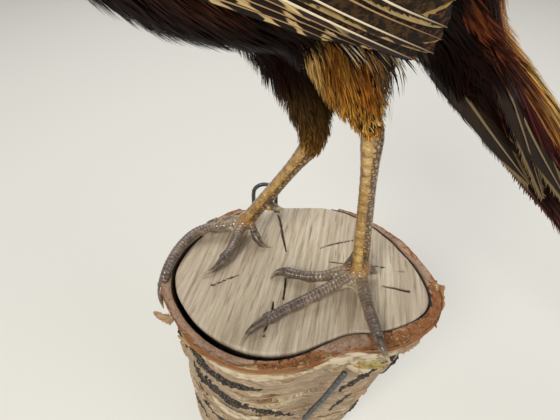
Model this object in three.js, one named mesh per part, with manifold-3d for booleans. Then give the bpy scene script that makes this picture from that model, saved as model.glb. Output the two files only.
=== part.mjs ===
// A mounted cock pheasant that steps along a birch stub, which hangs on a wall by a wire loop.
// Millimetres, +Z up. The wall is the plane Y = 0 and the room is on its -Y side; the bird walks towards -X.
// The origin is the middle of the stub's sawn back, where it rests against the wall.
import * as THREE from "three";
import { mergeVertices } from "three/addons/utils/BufferGeometryUtils.js";
import Module from "manifold-3d";

const wasm = await Module();
wasm.setup();

// ---------- driving dimensions ----------
const GAP = 0.4; // between pieces that touch
const TOLERANCE = 0.18; // facets that differ by less than this are merged
const LOG_TOP = 80; // sawn face that the bird stands on
const LOG_BOTTOM = -140;
const LOG_LEAN = { x: -0.095, y: 0.31 }; // sideways and towards the wall, for each mm down
const LOG_CENTRE = new THREE.Vector2(0, -46.5); // pith, on the top face
const RIM_FLARE = 3; // the bark turns outwards at the sawn edge
const BARK = 5.2; // bark thickness
const BARK_LOOSE = 0.8; // bark stands off the wood all round
const CRACK = 2.4; // and by this much more at the front left
const LOOP = { x: -15.4, y: -3.2, half: 5.6, foot: 62, shoulder: 91, wire: 1.1 }; // hanging loop
const LEG_WIRE_R = 1.35; // the wire that runs up inside a leg
const BODY_Y = -54; // the bird's own middle plane
const WING_THICKNESS = 8; // of a folded wing on the trunk
const WALL_CLEARANCE = 0.6; // between the right wing and the wall
const TOE_R = 2.7;
const CLAW_R = 1.5;
const SHANK_R = 2.9;
const EYE_R = 5.2;
const HEAD = { x: -144, y: BODY_Y - 3, z: 417, turn: THREE.MathUtils.degToRad(12) }; // it looks into the room
const WATTLE = 1.9; // thickness of the red skin of the face
const TAIL_ROOF = 0.5; // the folded tail's sides slope down by this angle, in radians

const V = (x, y, z) => new THREE.Vector3(x, y, z);
const UP = V(0, 0, 1);
const ACROSS = V(0, 1, 0);
const HANDS = { left: -1, right: 1 };

// ---------- materials ----------
const finish = (color, roughness, metalness = 0) =>
  new THREE.MeshStandardMaterial({ color, roughness, metalness });
const PLUMAGE_DARK = finish(0x2a1512, 0.7);
const PLUMAGE_COPPER = finish(0x7a3a16, 0.6);
const PLUMAGE_GREEN = finish(0x16352c, 0.4);
const PLUMAGE_BUFF = finish(0x8a6a3c, 0.7);
const PLUMAGE_BROWN = finish(0x4a3524, 0.7);
const LEG_SCALE = finish(0x9a7028, 0.35);
const TOE_SKIN = finish(0x5b463b, 0.5);
const HORN = finish(0x8f7a52, 0.4);
const EYE_GLASS = finish(0xc46a14, 0.05);
const WATTLE_RED = finish(0xa81616, 0.6);
const WOOD = finish(0xb9a68a, 0.8);
const BARK_SKIN = finish(0xb59c78, 0.8);
const STEEL = finish(0x3c4144, 0.4, 0.9);

// ---------- solids ----------
// A closed geometry as a solid, turned right way out.
function solid(geometry) {
  const bare = geometry.clone();
  bare.deleteAttribute("normal");
  bare.deleteAttribute("uv");
  const merged = mergeVertices(bare, 1e-3);
  const triVerts = new Uint32Array(merged.index.array);
  const vertProperties = merged.attributes.position.array;
  const build = () => new wasm.Manifold(new wasm.Mesh({ numProp: 3, vertProperties, triVerts }));
  const made = build();
  if (made.volume() > 0) return made;
  triVerts.reverse();
  return build();
}

function geometryOf(body) {
  const { vertProperties, triVerts, numProp } = body.getMesh();
  const position = new Float32Array((vertProperties.length / numProp) * 3);
  for (let i = 0; i < position.length / 3; i++)
    position.set(vertProperties.subarray(i * numProp, i * numProp + 3), i * 3);
  return new THREE.BufferGeometry()
    .setAttribute("position", new THREE.BufferAttribute(position, 3))
    .setIndex(new THREE.BufferAttribute(triVerts, 1));
}

const cutBy = (body, ...others) => others.reduce((left, other) => left.subtract(other), body);

// A cut can leave slivers beside the piece: the largest body is the piece.
const mainBody = (body) => body.decompose().sort((a, b) => b.volume() - a.volume())[0];

// A limb: an elliptical section along a smooth line. A station is [x, y, z, half width, half depth].
// The half width lies along `side`, as far as the line lets it; `grow` adds to both.
function limb(stations, { radial = 10, rings = 8, side = ACROSS, grow = 0 } = {}) {
  const line = new THREE.CatmullRomCurve3(stations.map(([x, y, z]) => V(x, y, z)), false, "centripetal");
  const sizes = new THREE.CatmullRomCurve3(
    stations.map(([, , , wide, deep = wide]) => V(wide, deep, 0)), false, "catmullrom", 0.5,
  );
  const least = 0.3; // the thinnest section at a tip
  const shape = new THREE.SphereGeometry(1, radial, rings);
  const { position, uv } = shape.attributes;
  for (let i = 0; i < position.count; i++) {
    const ring = Math.round((1 - uv.getY(i)) * rings);
    const t = THREE.MathUtils.clamp((ring - 1) / (rings - 2), 0, 1);
    const at = line.getPoint(t);
    const along = line.getTangent(t);
    if (grow && t === 0) at.addScaledVector(along, -grow);
    if (grow && t === 1) at.addScaledVector(along, grow);
    if (ring > 0 && ring < rings) {
      const wide = side.clone().addScaledVector(along, -side.dot(along)).normalize();
      const deep = along.clone().cross(wide);
      const size = sizes.getPoint(t);
      const turn = 2 * Math.PI * uv.getX(i);
      at.addScaledVector(wide, (Math.max(size.x, least) + grow) * Math.cos(turn));
      at.addScaledVector(deep, (Math.max(size.y, least) + grow) * Math.sin(turn));
    }
    position.setXYZ(i, at.x, at.y, at.z);
  }
  return solid(shape);
}

function rod(line, radius, steps) {
  const section = new THREE.Shape().absarc(0, 0, radius, 0, 2 * Math.PI);
  const options = { steps, curveSegments: 4, extrudePath: line, bevelEnabled: false };
  return solid(new THREE.ExtrudeGeometry(section, options));
}

// A smooth closed outline through some points, as a shape of `sides` straight sides.
function outlineOf(points, sides) {
  const ring = points.map(([x, y]) => new THREE.Vector2(x, y));
  return new THREE.Shape(new THREE.SplineCurve([...ring, ring[0]]).getPoints(sides).slice(0, -1));
}

// An outline in the X-Z plane, carried from one Y to another.
function sidePlate(shape, fromY, toY) {
  const plate = new THREE.ExtrudeGeometry(shape, { depth: toY - fromY, bevelEnabled: false });
  plate.rotateX(Math.PI / 2);
  plate.translate(0, toY, 0);
  return plate;
}

function block(from, to) {
  const size = to.clone().sub(from);
  const box = new THREE.BoxGeometry(size.x, size.y, size.z);
  const middle = from.clone().lerp(to, 0.5);
  box.translate(middle.x, middle.y, middle.z);
  return solid(box);
}

// Everything on the side of a plane that `along` points to, from `past` beyond the plane.
function beyond({ at, along }, past = GAP / 2) {
  const reach = 900; // larger than the whole object
  const half = new THREE.BoxGeometry(reach, reach, reach);
  half.translate(0, 0, reach / 2 + past);
  half.applyQuaternion(new THREE.Quaternion().setFromUnitVectors(UP, along.clone().normalize()));
  half.translate(at.x, at.y, at.z);
  return solid(half);
}
const behind = ({ at, along }) => beyond({ at, along: along.clone().negate() });

const mount = new THREE.Group();
const bird = new THREE.Group();
function add(group, name, body, material) {
  const mesh = new THREE.Mesh(geometryOf(mainBody(body.simplify(TOLERANCE))), material);
  mesh.name = name;
  group.add(mesh);
}

// ---------- the birch stub ----------
// Its outline on the top face, from the left of the flat back. It is an uneven round, as branches are.
const LOG_OUTLINE = [
  [-30, -2], [-46, -17], [-55, -31], [-57, -46], [-54.5, -60], [-46, -72], [-34, -82], [-21, -89.5],
  [-7, -93], [7, -91], [18, -88.5], [31, -89], [43, -83.5], [53.5, -75], [57, -63.5], [55.5, -50],
  [50, -33], [40, -16], [25, -3], [-2, 4],
];
const LOG_SIDES = 36;
const CRACK_ANGLE = THREE.MathUtils.degToRad(235);

// The outline moved in by `inset`, and by up to `crack` more where the bark has come away.
function logShape(inset, crack = 0) {
  const ring = LOG_OUTLINE.map(([x, y]) => {
    const out = new THREE.Vector2(x, y).sub(LOG_CENTRE);
    const looseness = Math.max(0, Math.cos(out.angle() - CRACK_ANGLE)) ** 2;
    return out.setLength(out.length() - inset - crack * looseness).add(LOG_CENTRE).toArray();
  });
  return outlineOf(ring, LOG_SIDES);
}

// The leaning stub, cut flat where it meets the wall. `rim` is how far it flares at the sawn edge.
const LOG_LEVELS = [0, 0.45, 0.88, 0.95, 1]; // shares of its height, closer together at the rim
const FLARE_FROM = 0.87;
function stub(shape, { rim = 0, over = 0, under = 0 } = {}) {
  const steps = LOG_LEVELS.length - 1;
  const length = new THREE.ExtrudeGeometry(shape, { depth: 1, steps, bevelEnabled: false });
  const { position } = length.attributes;
  for (let i = 0; i < position.count; i++) {
    const level = LOG_LEVELS[Math.round(position.getZ(i) * steps)];
    const z = THREE.MathUtils.lerp(LOG_BOTTOM - under, LOG_TOP + over, level);
    const out = new THREE.Vector2(position.getX(i), position.getY(i)).sub(LOG_CENTRE);
    out.setLength(out.length() - rim * (1 - THREE.MathUtils.smoothstep(level, FLARE_FROM, 1)));
    out.add(LOG_CENTRE);
    position.setXYZ(i, out.x + LOG_LEAN.x * (LOG_TOP - z), out.y + LOG_LEAN.y * (LOG_TOP - z), z);
  }
  return solid(length).intersect(block(V(-120, -200, LOG_BOTTOM - under), V(120, 0, LOG_TOP + over)));
}
const shellHole = stub(logShape(BARK), { over: 1, under: 1 });
const standing = stub(logShape(-GAP), { rim: RIM_FLARE, over: GAP }); // cuts what rests on the stub

// A wire loop driven into the top edge at the back takes the wall's hook.
class LoopLine extends THREE.Curve {
  getPoint(t, target = V(0, 0, 0)) {
    const leg = LOOP.shoulder - LOOP.foot;
    const arch = Math.PI * LOOP.half;
    const at = t * (2 * leg + arch);
    if (at < leg) return target.set(LOOP.x - LOOP.half, LOOP.y, LOOP.foot + at);
    if (at > leg + arch) return target.set(LOOP.x + LOOP.half, LOOP.y, LOOP.foot + 2 * leg + arch - at);
    const turn = Math.PI - (at - leg) / LOOP.half;
    const top = LOOP.shoulder + LOOP.half * Math.sin(turn);
    return target.set(LOOP.x + LOOP.half * Math.cos(turn), LOOP.y, top);
  }
}
const loop = (grow = 0) => rod(new LoopLine(), LOOP.wire + grow, 30);

// The stout wire inside the left leg comes out of the stub's front and is bent up along the bark.
const LEG_WIRE = new THREE.CatmullRomCurve3([
  V(9, -44, -25), V(6.5, -56, -25), V(4.8, -61.5, -21), V(6, -64.2, -9), V(12.7, -76.2, 29), V(17.5, -87, 63),
]);
const legWire = (grow = 0) => rod(LEG_WIRE, LEG_WIRE_R + grow, 18);

const wireHoles = [loop(GAP), legWire(GAP)];
add(mount, "log_wood", cutBy(stub(logShape(BARK + BARK_LOOSE, CRACK)), ...wireHoles), WOOD);
add(mount, "log_bark", cutBy(stub(logShape(0), { rim: RIM_FLARE }), shellHole, ...wireHoles), BARK_SKIN);
add(mount, "hanger_loop", loop(), STEEL);
add(mount, "leg_wire_end", legWire(), STEEL);

// ---------- trunk and neck ----------
// The bird's outline from the root of the tail to the top of the neck: [x, z, half width, half depth].
const SPINE = [
  [54, 172, 11, 7], [46, 181, 18, 11.5], [33, 193.5, 28, 23], [14, 208, 38, 39], [-12, 225.5, 46, 54.5],
  [-42, 248.5, 51, 58], [-75, 275, 52, 57], [-104, 302, 46, 50], [-122, 327, 35, 38],
  [-131, 353, 25.5, 27], [-135, 376, 19.5, 21.5], [-137, 397, 17, 18.5], [-140, 412, 14, 15],
].map(([x, z, wide, deep]) => [x, BODY_Y, z, wide, deep]);
const trunkLine = (grow = 0) => limb(SPINE, { radial: 18, rings: 27, grow });
const PARTINGS = {
  rump: { at: V(24, BODY_Y, 203), along: V(-0.77, 0, 0.64) },
  neck: { at: V(-116, BODY_Y, 306), along: V(-0.5, 0, 0.87) },
  throat: { at: V(-135, BODY_Y, 352), along: V(-0.1, 0, 1) },
  nape: { at: V(-138, BODY_Y, 397), along: V(-0.1, 0, 1) },
};

// ---------- head, in its own frame with the bill towards -X ----------
const headFrame = new THREE.Matrix4().makeRotationZ(HEAD.turn).setPosition(HEAD.x, HEAD.y, HEAD.z);
const headAcross = ACROSS.clone().applyAxisAngle(UP, HEAD.turn);
const inHead = (x, y, z) => V(x, y, z).applyMatrix4(headFrame).toArray();
const headLimb = (stations, options) =>
  limb(stations.map(([x, y, z, ...size]) => [...inHead(x, y, z), ...size]), { side: headAcross, ...options });
const skull = (grow = 0) => headLimb(
  [
    [21, 0, -4, 7, 9], [14, 0, -1, 12, 14.5], [4, 0, 1.5, 14.6, 16.8],
    [-8, 0, 1.5, 14.4, 16], [-18, 0, -1.5, 11.5, 12.6], [-27, 0, -5, 7.2, 8.4],
  ],
  { radial: 14, rings: 10, grow },
);
const upperBill = (grow = 0) => headLimb(
  [
    [-22, 0, -3.4, 5.2, 4.4], [-30, 0, -3.8, 5.1, 4.3], [-40, 0, -5.4, 4.2, 3.6],
    [-48, 0, -8.6, 2.5, 2.5], [-52.5, 0, -13, 0.7, 0.8],
  ],
  { grow },
);
const lowerBill = (grow = 0) => headLimb(
  [[-22, 0, -9.4, 4.8, 2.9], [-31, 0, -9.5, 4.3, 2.6], [-40, 0, -10.2, 3.2, 2.1], [-46.5, 0, -11.8, 1.2, 1]],
  { grow },
);
function eyeBall(hand, grow = 0) {
  const ball = new THREE.SphereGeometry(EYE_R + grow, 12, 6);
  ball.translate(...inHead(-9.5, hand * 12.2, 4.2));
  return solid(ball);
}
const earTuft = (hand, grow = 0) => headLimb(
  [
    [6, hand * 8.5, 11, 3], [12, hand * 10, 15, 2.8],
    [18, hand * 11.5, 18, 1.5], [22.5, hand * 12.5, 20.5, 0.5],
  ],
  { radial: 6, rings: 6, grow },
);

// The bare red skin runs from the root of the bill to behind the eye, with a lobe below.
const WATTLE_OUTLINE = [
  [-25, -1], [-20, 8], [-11, 13.5], [-1, 11.5], [5, 4], [4, -5], [-3, -13.5], [-12, -15], [-21, -9.5],
];
function wattle(hand) {
  const inner = 2.5; // from the head's middle plane
  const outer = 22.5;
  const from = hand < 0 ? -outer : inner;
  const plate = sidePlate(outlineOf(WATTLE_OUTLINE, 14), from, from + outer - inner).applyMatrix4(headFrame);
  const under = [skull(GAP), trunkLine(GAP), upperBill(GAP), lowerBill(GAP)];
  const skin = solid(plate).intersect(skull(WATTLE));
  return cutBy(skin, ...under, eyeBall(hand, GAP), earTuft(hand, GAP));
}

const plumage = trunkLine().add(skull());
const bills = [upperBill(1.5 * GAP), lowerBill(1.5 * GAP)];
const sideParts = Object.values(HANDS).flatMap((hand) => [eyeBall(hand, GAP), earTuft(hand, GAP)]);
const between = (low, high) => plumage.intersect(beyond(low)).intersect(behind(high));
add(bird, "head", cutBy(plumage.intersect(beyond(PARTINGS.nape)), ...bills, ...sideParts), PLUMAGE_GREEN);
add(bird, "neck_upper", between(PARTINGS.throat, PARTINGS.nape), PLUMAGE_GREEN);
add(bird, "neck_lower", between(PARTINGS.neck, PARTINGS.throat), PLUMAGE_COPPER);
add(bird, "trunk", between(PARTINGS.rump, PARTINGS.neck), PLUMAGE_COPPER);
add(bird, "bill_upper", cutBy(upperBill(), lowerBill(GAP)), HORN);
add(bird, "bill_lower", lowerBill(), HORN);
for (const [name, hand] of Object.entries(HANDS)) {
  add(bird, `eye_${name}`, eyeBall(hand), EYE_GLASS);
  add(bird, `ear_tuft_${name}`, earTuft(hand), PLUMAGE_GREEN);
  add(bird, `wattle_${name}`, wattle(hand), WATTLE_RED);
}

// ---------- tail ----------
// Its line runs from the root to the tip of the longest pair.
const TAIL = [[42, 179], [70, 154], [108, 116.5], [200, 27], [290, -59], [366, -138]];
const tailCurve = new THREE.CatmullRomCurve3(TAIL.map(([x, z]) => V(x, BODY_Y, z)));
// A stack of tail feathers: a flat section along the tail's line, between two shares of it.
// It is set off sideways and up by multiples of its own width, and rolled about the line.
function tailStack({ from, to, aside = 0, lift, roll = 0, widths, thick, grow = 0 }) {
  const last = widths.length - 1;
  const stations = widths.map((width, i) => {
    const t = THREE.MathUtils.lerp(from, to, i / last);
    const above = tailCurve.getTangentAt(t).cross(ACROSS).normalize();
    const at = tailCurve.getPointAt(t).addScaledVector(ACROSS, aside * width);
    at.addScaledVector(above, lift * width);
    return [...at.toArray(), width, Math.max(thick * (1 - (0.6 * i) / last), 0.6)];
  });
  const side = ACROSS.clone().applyAxisAngle(tailCurve.getTangentAt((from + to) / 2), roll);
  return limb(stations, { rings: 12, side, grow });
}
const centreTail = (grow = 0) =>
  tailStack({ from: 0.1, to: 1, lift: 0.16, widths: [18, 20, 18, 13, 8, 2.5], thick: 4, grow });
const sideTail = (hand, grow = 0) => tailStack({
  from: 0.11, to: 0.68, aside: hand * 0.85, lift: -0.24, roll: -hand * TAIL_ROOF,
  widths: [13, 15, 14, 10, 3.5], thick: 3.6, grow,
});
const coverts = (grow = 0) => limb(
  [
    [44, 180, 19, 11], [55, 168, 19, 12], [71, 152, 18.5, 12],
    [94, 130, 16.5, 11], [119, 106, 12, 8.5], [141, 85, 6.5, 5],
  ].map(([x, z, wide, deep]) => [x, BODY_Y, z, wide, deep]),
  { radial: 12, rings: 9, grow },
);
add(bird, "rump", cutBy(plumage.intersect(behind(PARTINGS.rump)), coverts(GAP)), PLUMAGE_DARK);
const stacks = [centreTail(GAP), ...Object.values(HANDS).map((hand) => sideTail(hand, GAP))];
add(bird, "tail_coverts", cutBy(coverts(), ...stacks), PLUMAGE_DARK);
add(bird, "tail_centre", centreTail(), PLUMAGE_BUFF);
for (const [name, hand] of Object.entries(HANDS)) {
  const otherSide = beyond({ at: V(0, BODY_Y, 0), along: ACROSS.clone().multiplyScalar(-hand) }, -GAP / 2);
  add(bird, `tail_${name}`, cutBy(sideTail(hand), centreTail(GAP), otherSide), PLUMAGE_BUFF);
}

// ---------- wings ----------
// A folded wing from the side: from its bend at the front to the tips beside the root of the tail.
const WING_OUTLINE = outlineOf([
  [-137, 292], [-128, 258], [-102, 228], [-72, 210], [-44, 201], [-18, 195], [4, 189], [22, 184.5],
  [31, 184], [32, 194], [26, 214], [10, 243], [-18, 276], [-54, 308], [-92, 328], [-124, 320],
], 48);
const WING_PARTING = { at: V(-58, BODY_Y, 245), along: V(1, 0, -0.42) }; // coverts before it, quills behind
const WING_SPAN = { left: [BODY_Y - 90, BODY_Y - 7], right: [BODY_Y + 7, -WALL_CLEARANCE] }; // in Y
for (const [name, span] of Object.entries(WING_SPAN)) {
  const plate = solid(sidePlate(WING_OUTLINE, ...span));
  const wing = cutBy(plate.intersect(trunkLine(WING_THICKNESS)), trunkLine(GAP));
  add(bird, `wing_${name}_coverts`, wing.intersect(behind(WING_PARTING)), PLUMAGE_BUFF);
  add(bird, `wing_${name}_quills`, cutBy(wing.intersect(beyond(WING_PARTING)), coverts(GAP)), PLUMAGE_BROWN);
}

// ---------- legs ----------
// The heel is where the toes part, and a thigh's stations run up from the hock.
const LEGS = {
  left: {
    hock: V(22.8, -57, 150),
    heel: V(25.2, -56, 87.5),
    spur: V(7.5, 6, -1.4),
    thigh: [
      [22.8, -57, 146, 3.8, 4], [21.8, -57.5, 152, 4.6, 5], [18.8, -58.5, 158, 6.6, 7.4],
      [16.5, -60, 163.5, 8.6, 9.8], [14, -61.5, 170, 10.5, 11], [10, -63, 181, 13, 13.5],
      [5, -65, 196, 14, 15], [0, -66, 210, 12, 13],
    ],
    toes: {
      middle: [[22, -57.5, 87], [14, -62.2, 85.2], [4.4, -67.8, 84], [-4.8, -73, 83.4], [-13.4, -78.5, 83]],
      inner: [[21.5, -54.6, 87], [9.7, -56.4, 84.4], [0.3, -54.4, 83.4], [-5.2, -52.2, 83]],
      outer: [
        [25.6, -59, 86.6], [25.9, -66, 84.8], [26.6, -75, 83.6], [27.4, -83.5, 83.6], [27.6, -88, 83.8],
      ],
      hind: [[27.5, -54.6, 89.5], [31.8, -53.6, 85.6]],
    },
    clawTips: {
      middle: [-22.2, -88, 80.8],
      inner: [-11.8, -54.6, 80.9],
      outer: [31.4, -95, 78.6],
      hind: [35.6, -52.4, 81.6],
    },
  },
  right: {
    hock: V(5, -37, 135.5),
    heel: V(-23.6, -22.4, 88),
    spur: V(9.5, -4, -1.4),
    thigh: [
      [2.2, -35.6, 130, 3.8, 4], [5.5, -36.6, 135.5, 4.6, 5.2], [5.2, -37, 141.5, 5.4, 6],
      [3.8, -37.5, 148, 6.8, 7.8], [3, -38, 154.5, 7.6, 7.8], [0.6, -39, 161, 8.8, 8.8],
      [-3.6, -41, 171, 11, 10.5], [-11, -43, 186, 13, 13], [-18, -44, 204, 12, 13],
    ],
    toes: {
      middle: [
        [-26.4, -22.6, 87.2], [-33.5, -23.4, 86.2], [-40.5, -24, 85.4], [-47, -27, 84.6],
        [-52, -34.6, 83.9], [-54.8, -43, 83.2], [-56.8, -50.5, 80.6], [-58, -55, 76.5],
      ],
      inner: [[-25.4, -25.5, 87], [-27.6, -32, 85.4], [-29.6, -38.4, 84.2], [-32.6, -44.8, 83.2]],
      outer: [[-27, -20.4, 87.2], [-33, -18.2, 85], [-39.8, -17.4, 83.2]],
      hind: [[-21.6, -24.6, 88.6], [-18.4, -30.4, 84]],
    },
    clawTips: {
      middle: [-57.4, -60, 69],
      inner: [-41.8, -52, 80.9],
      outer: [-45.6, -17.8, 80.9],
      hind: [-11.8, -33.6, 81],
    },
  },
};
const thighOf = (leg, grow = 0) => limb(leg.thigh, { radial: 12, rings: 12, grow });

// The bare shank, a little thicker at both ends: [share of the way down, half width, half depth].
const SHANK = [
  [-0.06, 3, 3.4], [0.04, 3.5, 4], [0.25, SHANK_R, 3.2], [0.7, SHANK_R, 3.3],
  [0.92, 3.2, 3.6], [1.02, 4, 4.2], [1.06, 2.4, 2.4],
];
function shankOf({ hock, heel }, grow = 0) {
  const stations = SHANK.map(([share, ...size]) => [...hock.clone().lerp(heel, share).toArray(), ...size]);
  return limb(stations, { radial: 9, rings: 10, grow });
}
function spurOf({ hock, heel, spur }, grow = 0) {
  const root = hock.clone().lerp(heel, 0.72);
  const along = (share) => root.clone().addScaledVector(spur, share).toArray();
  return limb([[...along(0), 2.4], [...along(0.5), 1.8], [...along(1), 0.5]], { radial: 8, rings: 6, grow });
}
function toeOf(line, grow = 0) {
  const taper = 0.2;
  const stations = line.map((p, i) => [...p, TOE_R * (1 - (taper * i) / (line.length - 1))]);
  return limb(stations, { radial: 7, rings: 4 + Math.round(1.4 * line.length), side: UP, grow });
}
// A claw carries on from its toe and curves down to its tip.
function clawOf(line, tip) {
  const [before, root] = line.slice(-2).map((p) => V(...p));
  const ahead = root.clone().sub(before).normalize();
  const chord = V(...tip).sub(root);
  const start = root.clone().addScaledVector(ahead, -0.5);
  const bulge = ahead.clone().projectOnPlane(chord.clone().normalize());
  const crown = root.clone().addScaledVector(chord, 0.5).addScaledVector(bulge, 0.3 * chord.length());
  return limb(
    [[...start.toArray(), CLAW_R + 0.3], [...crown.toArray(), 0.75 * CLAW_R], [...tip, 0.35]],
    { radial: 6, rings: 6, side: UP },
  );
}

// The upper end of each thigh lies under the trunk's plumage and the edge of the folded wing.
const bodyAndWing = trunkLine(GAP).add(
  trunkLine(WING_THICKNESS + GAP).intersect(solid(sidePlate(WING_OUTLINE, BODY_Y - 90, -GAP))),
);
for (const [name, leg] of Object.entries(LEGS)) {
  add(bird, `thigh_${name}`, cutBy(thighOf(leg), bodyAndWing), PLUMAGE_COPPER);
  add(bird, `shank_${name}`, cutBy(shankOf(leg), thighOf(leg, GAP), spurOf(leg, GAP)), LEG_SCALE);
  add(bird, `spur_${name}`, spurOf(leg), HORN);
  const before = [standing, shankOf(leg, GAP)]; // each toe gives way to what is already there
  for (const [toe, line] of Object.entries(leg.toes)) {
    add(bird, `toe_${name}_${toe}`, cutBy(toeOf(line), ...before), TOE_SKIN);
    const claw = cutBy(clawOf(line, leg.clawTips[toe]), standing, toeOf(line, GAP));
    add(bird, `claw_${name}_${toe}`, claw, HORN);
    before.push(toeOf(line, GAP));
  }
}

const specimen = new THREE.Group();
specimen.add(mount, bird);
export default specimen;
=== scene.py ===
"""A mounted cock pheasant on a birch stub: its wood, bark and wires, its legs, and its skin and feathers."""

import math

import bmesh
import bpy
import numpy as np
from mathutils import Matrix, Vector, noise
from mathutils.bvhtree import BVHTree


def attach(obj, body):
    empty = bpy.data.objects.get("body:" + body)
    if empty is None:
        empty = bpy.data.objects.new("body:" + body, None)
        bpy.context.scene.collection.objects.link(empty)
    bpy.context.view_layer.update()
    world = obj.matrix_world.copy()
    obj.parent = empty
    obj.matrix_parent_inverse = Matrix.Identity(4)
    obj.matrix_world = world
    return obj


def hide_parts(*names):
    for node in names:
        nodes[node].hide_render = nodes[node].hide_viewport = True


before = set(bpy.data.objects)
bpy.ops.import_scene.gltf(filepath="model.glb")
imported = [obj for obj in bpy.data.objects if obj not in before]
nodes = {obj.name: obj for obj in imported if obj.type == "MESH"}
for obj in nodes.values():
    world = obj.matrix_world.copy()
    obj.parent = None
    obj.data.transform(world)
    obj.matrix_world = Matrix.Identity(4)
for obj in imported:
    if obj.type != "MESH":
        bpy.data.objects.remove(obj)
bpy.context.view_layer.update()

# ---------------------------------------------------------------- the sawn wood
# A stub of birch branch, sawn across at the top and sawn flat at the back, where it lies on the wall.
# The saw has left parallel streaks, and the end grain has dried and split in short cracks.
# Every shape is worked out in millimetres, and `mesh_piece` writes it in metres.
MM = 0.001
LOG_TOP = 80.0
LOG_BOTTOM = -140.0
LOG_LEAN = np.array([-0.095, 0.31])  # sideways and towards the wall, for each mm down
PITH = np.array([0.0, -46.5])  # on the top face
AROUND = 300  # faces round the stub
SAWN_OFF = 0.2  # the back stops short of the wall


def finished(name, mesh, replaced):
    """Makes a piece of a mesh. It rides and the CAD nodes that it replaces."""
    mesh.shade_smooth()
    piece = bpy.data.objects.new(name, mesh)
    bpy.context.scene.collection.objects.link(piece)
    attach(piece, "root")
    if replaced:
        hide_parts(*replaced)
    return piece


def mesh_piece(name, bm, slot, *replaced):
    """Ends a piece: its mesh goes from millimetres to metres."""
    bmesh.ops.scale(bm, verts=bm.verts, vec=(MM,) * 3)
    mesh = bpy.data.meshes.new(name)
    bm.to_mesh(mesh)
    bm.free()
    return finished(name, mesh, replaced)


def spots_of(bm):
    """The places of a shape's vertices, as rows."""
    return np.array([v.co[:] for v in bm.verts])


def move_to(bm, rows):
    for vert, row in zip(bm.verts, rows):
        vert.co = row


def bent_grid(across, along, place, weld=1e-4):
    """A grid of faces, bent by place(u, v), where u and v run from 0 to 1. Edges that meet are welded."""
    bm = bmesh.new()
    bm.loops.layers.uv.new("UVMap")
    bmesh.ops.create_grid(bm, x_segments=across, y_segments=along, size=0.5, calc_uvs=True)
    flat = spots_of(bm)[:, :2] + 0.5
    move_to(bm, place(flat[:, 0], flat[:, 1]))
    bmesh.ops.remove_doubles(bm, verts=bm.verts, dist=weld)
    bmesh.ops.recalc_face_normals(bm, faces=bm.faces)
    return bm


def ripple(points, size, seed=0.0):
    """Smooth noise from -1 to 1 at each point, with lumps of about `size` in the points' own units."""
    scaled = np.asarray(points, float) / size + seed
    return np.array([noise.noise(p) for p in scaled.tolist()])


def ease(low, high, x):
    """From 0 to 1, smoothly, as x goes from low to high."""
    t = np.clip((x - low) / (high - low), 0, 1)
    return t * t * (3 - 2 * t)


def stack(*parts):
    """Arrays and numbers side by side, as rows."""
    return np.stack(np.broadcast_arrays(*parts), axis=-1)


def norm(rows):
    return np.linalg.norm(rows, axis=-1)


RIM = [  # round the pith, in degrees, and how far from it the wood ends and the bark begins and ends
    (0, 51.8, 52.7, 56.8), (15, 49.2, 49.9, 54.0), (30, 48.6, 49.2, 52.3), (60, 49.5, 50.2, 52),
    (90, 49, 50, 52.5), (120, 50, 51, 54), (150, 50.2, 51.2, 55.4), (170, 52, 53.4, 57.6),
    (183, 53, 54.5, 58.2), (196, 52.2, 54.2, 57.8), (206, 50.8, 53.1, 56.4), (217, 49.9, 52.5, 55.6),
    (227, 48.9, 51.9, 55.4), (236, 48.2, 51.4, 54.8), (245, 47.5, 50.6, 54.3), (254, 46.2, 49.1, 52.6),
    (262, 44.6, 47.2, 50.8), (271, 42.4, 44.4, 48.7), (281, 39.8, 41.3, 46.4), (291, 38.9, 39.9, 46.2),
    (299, 39.5, 40.3, 48.5), (306, 42.6, 43.4, 51.8), (313, 46.2, 47.0, 54.8), (322, 50.2, 51.0, 57.8),
    (329, 53.6, 54.5, 59.6), (336, 55.8, 56.8, 60.7), (343, 55.6, 56.8, 60.7), (351, 53.8, 54.9, 59.6),
]


def rim_radius(column, waves=26):
    """How far from the pith one of the rim's outlines runs, as a smooth function of the angle."""
    angles = np.linspace(0, 2 * math.pi, AROUND, endpoint=False)
    table = np.array(RIM)
    radii = np.interp(np.degrees(angles), table[:, 0], table[:, column], period=360)
    spectrum = np.fft.rfft(radii)
    spectrum[waves:] = 0
    radii = np.fft.irfft(spectrum, AROUND)
    return lambda angle: np.interp(angle, angles, radii, period=2 * math.pi)


def on_stub(angle, radius, z):
    """Points of the leaning stub, from an angle and a distance from its pith."""
    down = LOG_TOP - z
    x = PITH[0] + LOG_LEAN[0] * down + radius * np.cos(angle)
    return stack(x, PITH[1] + LOG_LEAN[1] * down + radius * np.sin(angle), z)


def cut_at_wall(bm):
    """Saws the piece flat along the wall and closes the cut."""
    everything = bm.verts[:] + bm.edges[:] + bm.faces[:]
    wall = {"plane_co": (0, -SAWN_OFF, 0), "plane_no": (0, 1, 0)}
    cut = bmesh.ops.bisect_plane(bm, geom=everything, clear_outer=True, **wall)
    edges = [e for e in cut["geom_cut"] if isinstance(e, bmesh.types.BMEdge)]
    bmesh.ops.holes_fill(bm, edges=edges, sides=0)
    bmesh.ops.recalc_face_normals(bm, faces=bm.faces)


def number_layers(bm, **layers):
    """Stores numbers for each vertex, which a material reads by their names."""
    for name, values in layers.items():
        layer = bm.verts.layers.float.new(name)
        for vert, value in zip(bm.verts, values):
            vert[layer] = value


wood_edge = rim_radius(1)
FLARE = 3.0  # the stub widens towards its rim, more where the bark is loose
FLARE_LOOSE, LOOSE_ANGLE = 2.4, math.radians(230)
FLARE_DEPTH = 28.6


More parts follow.
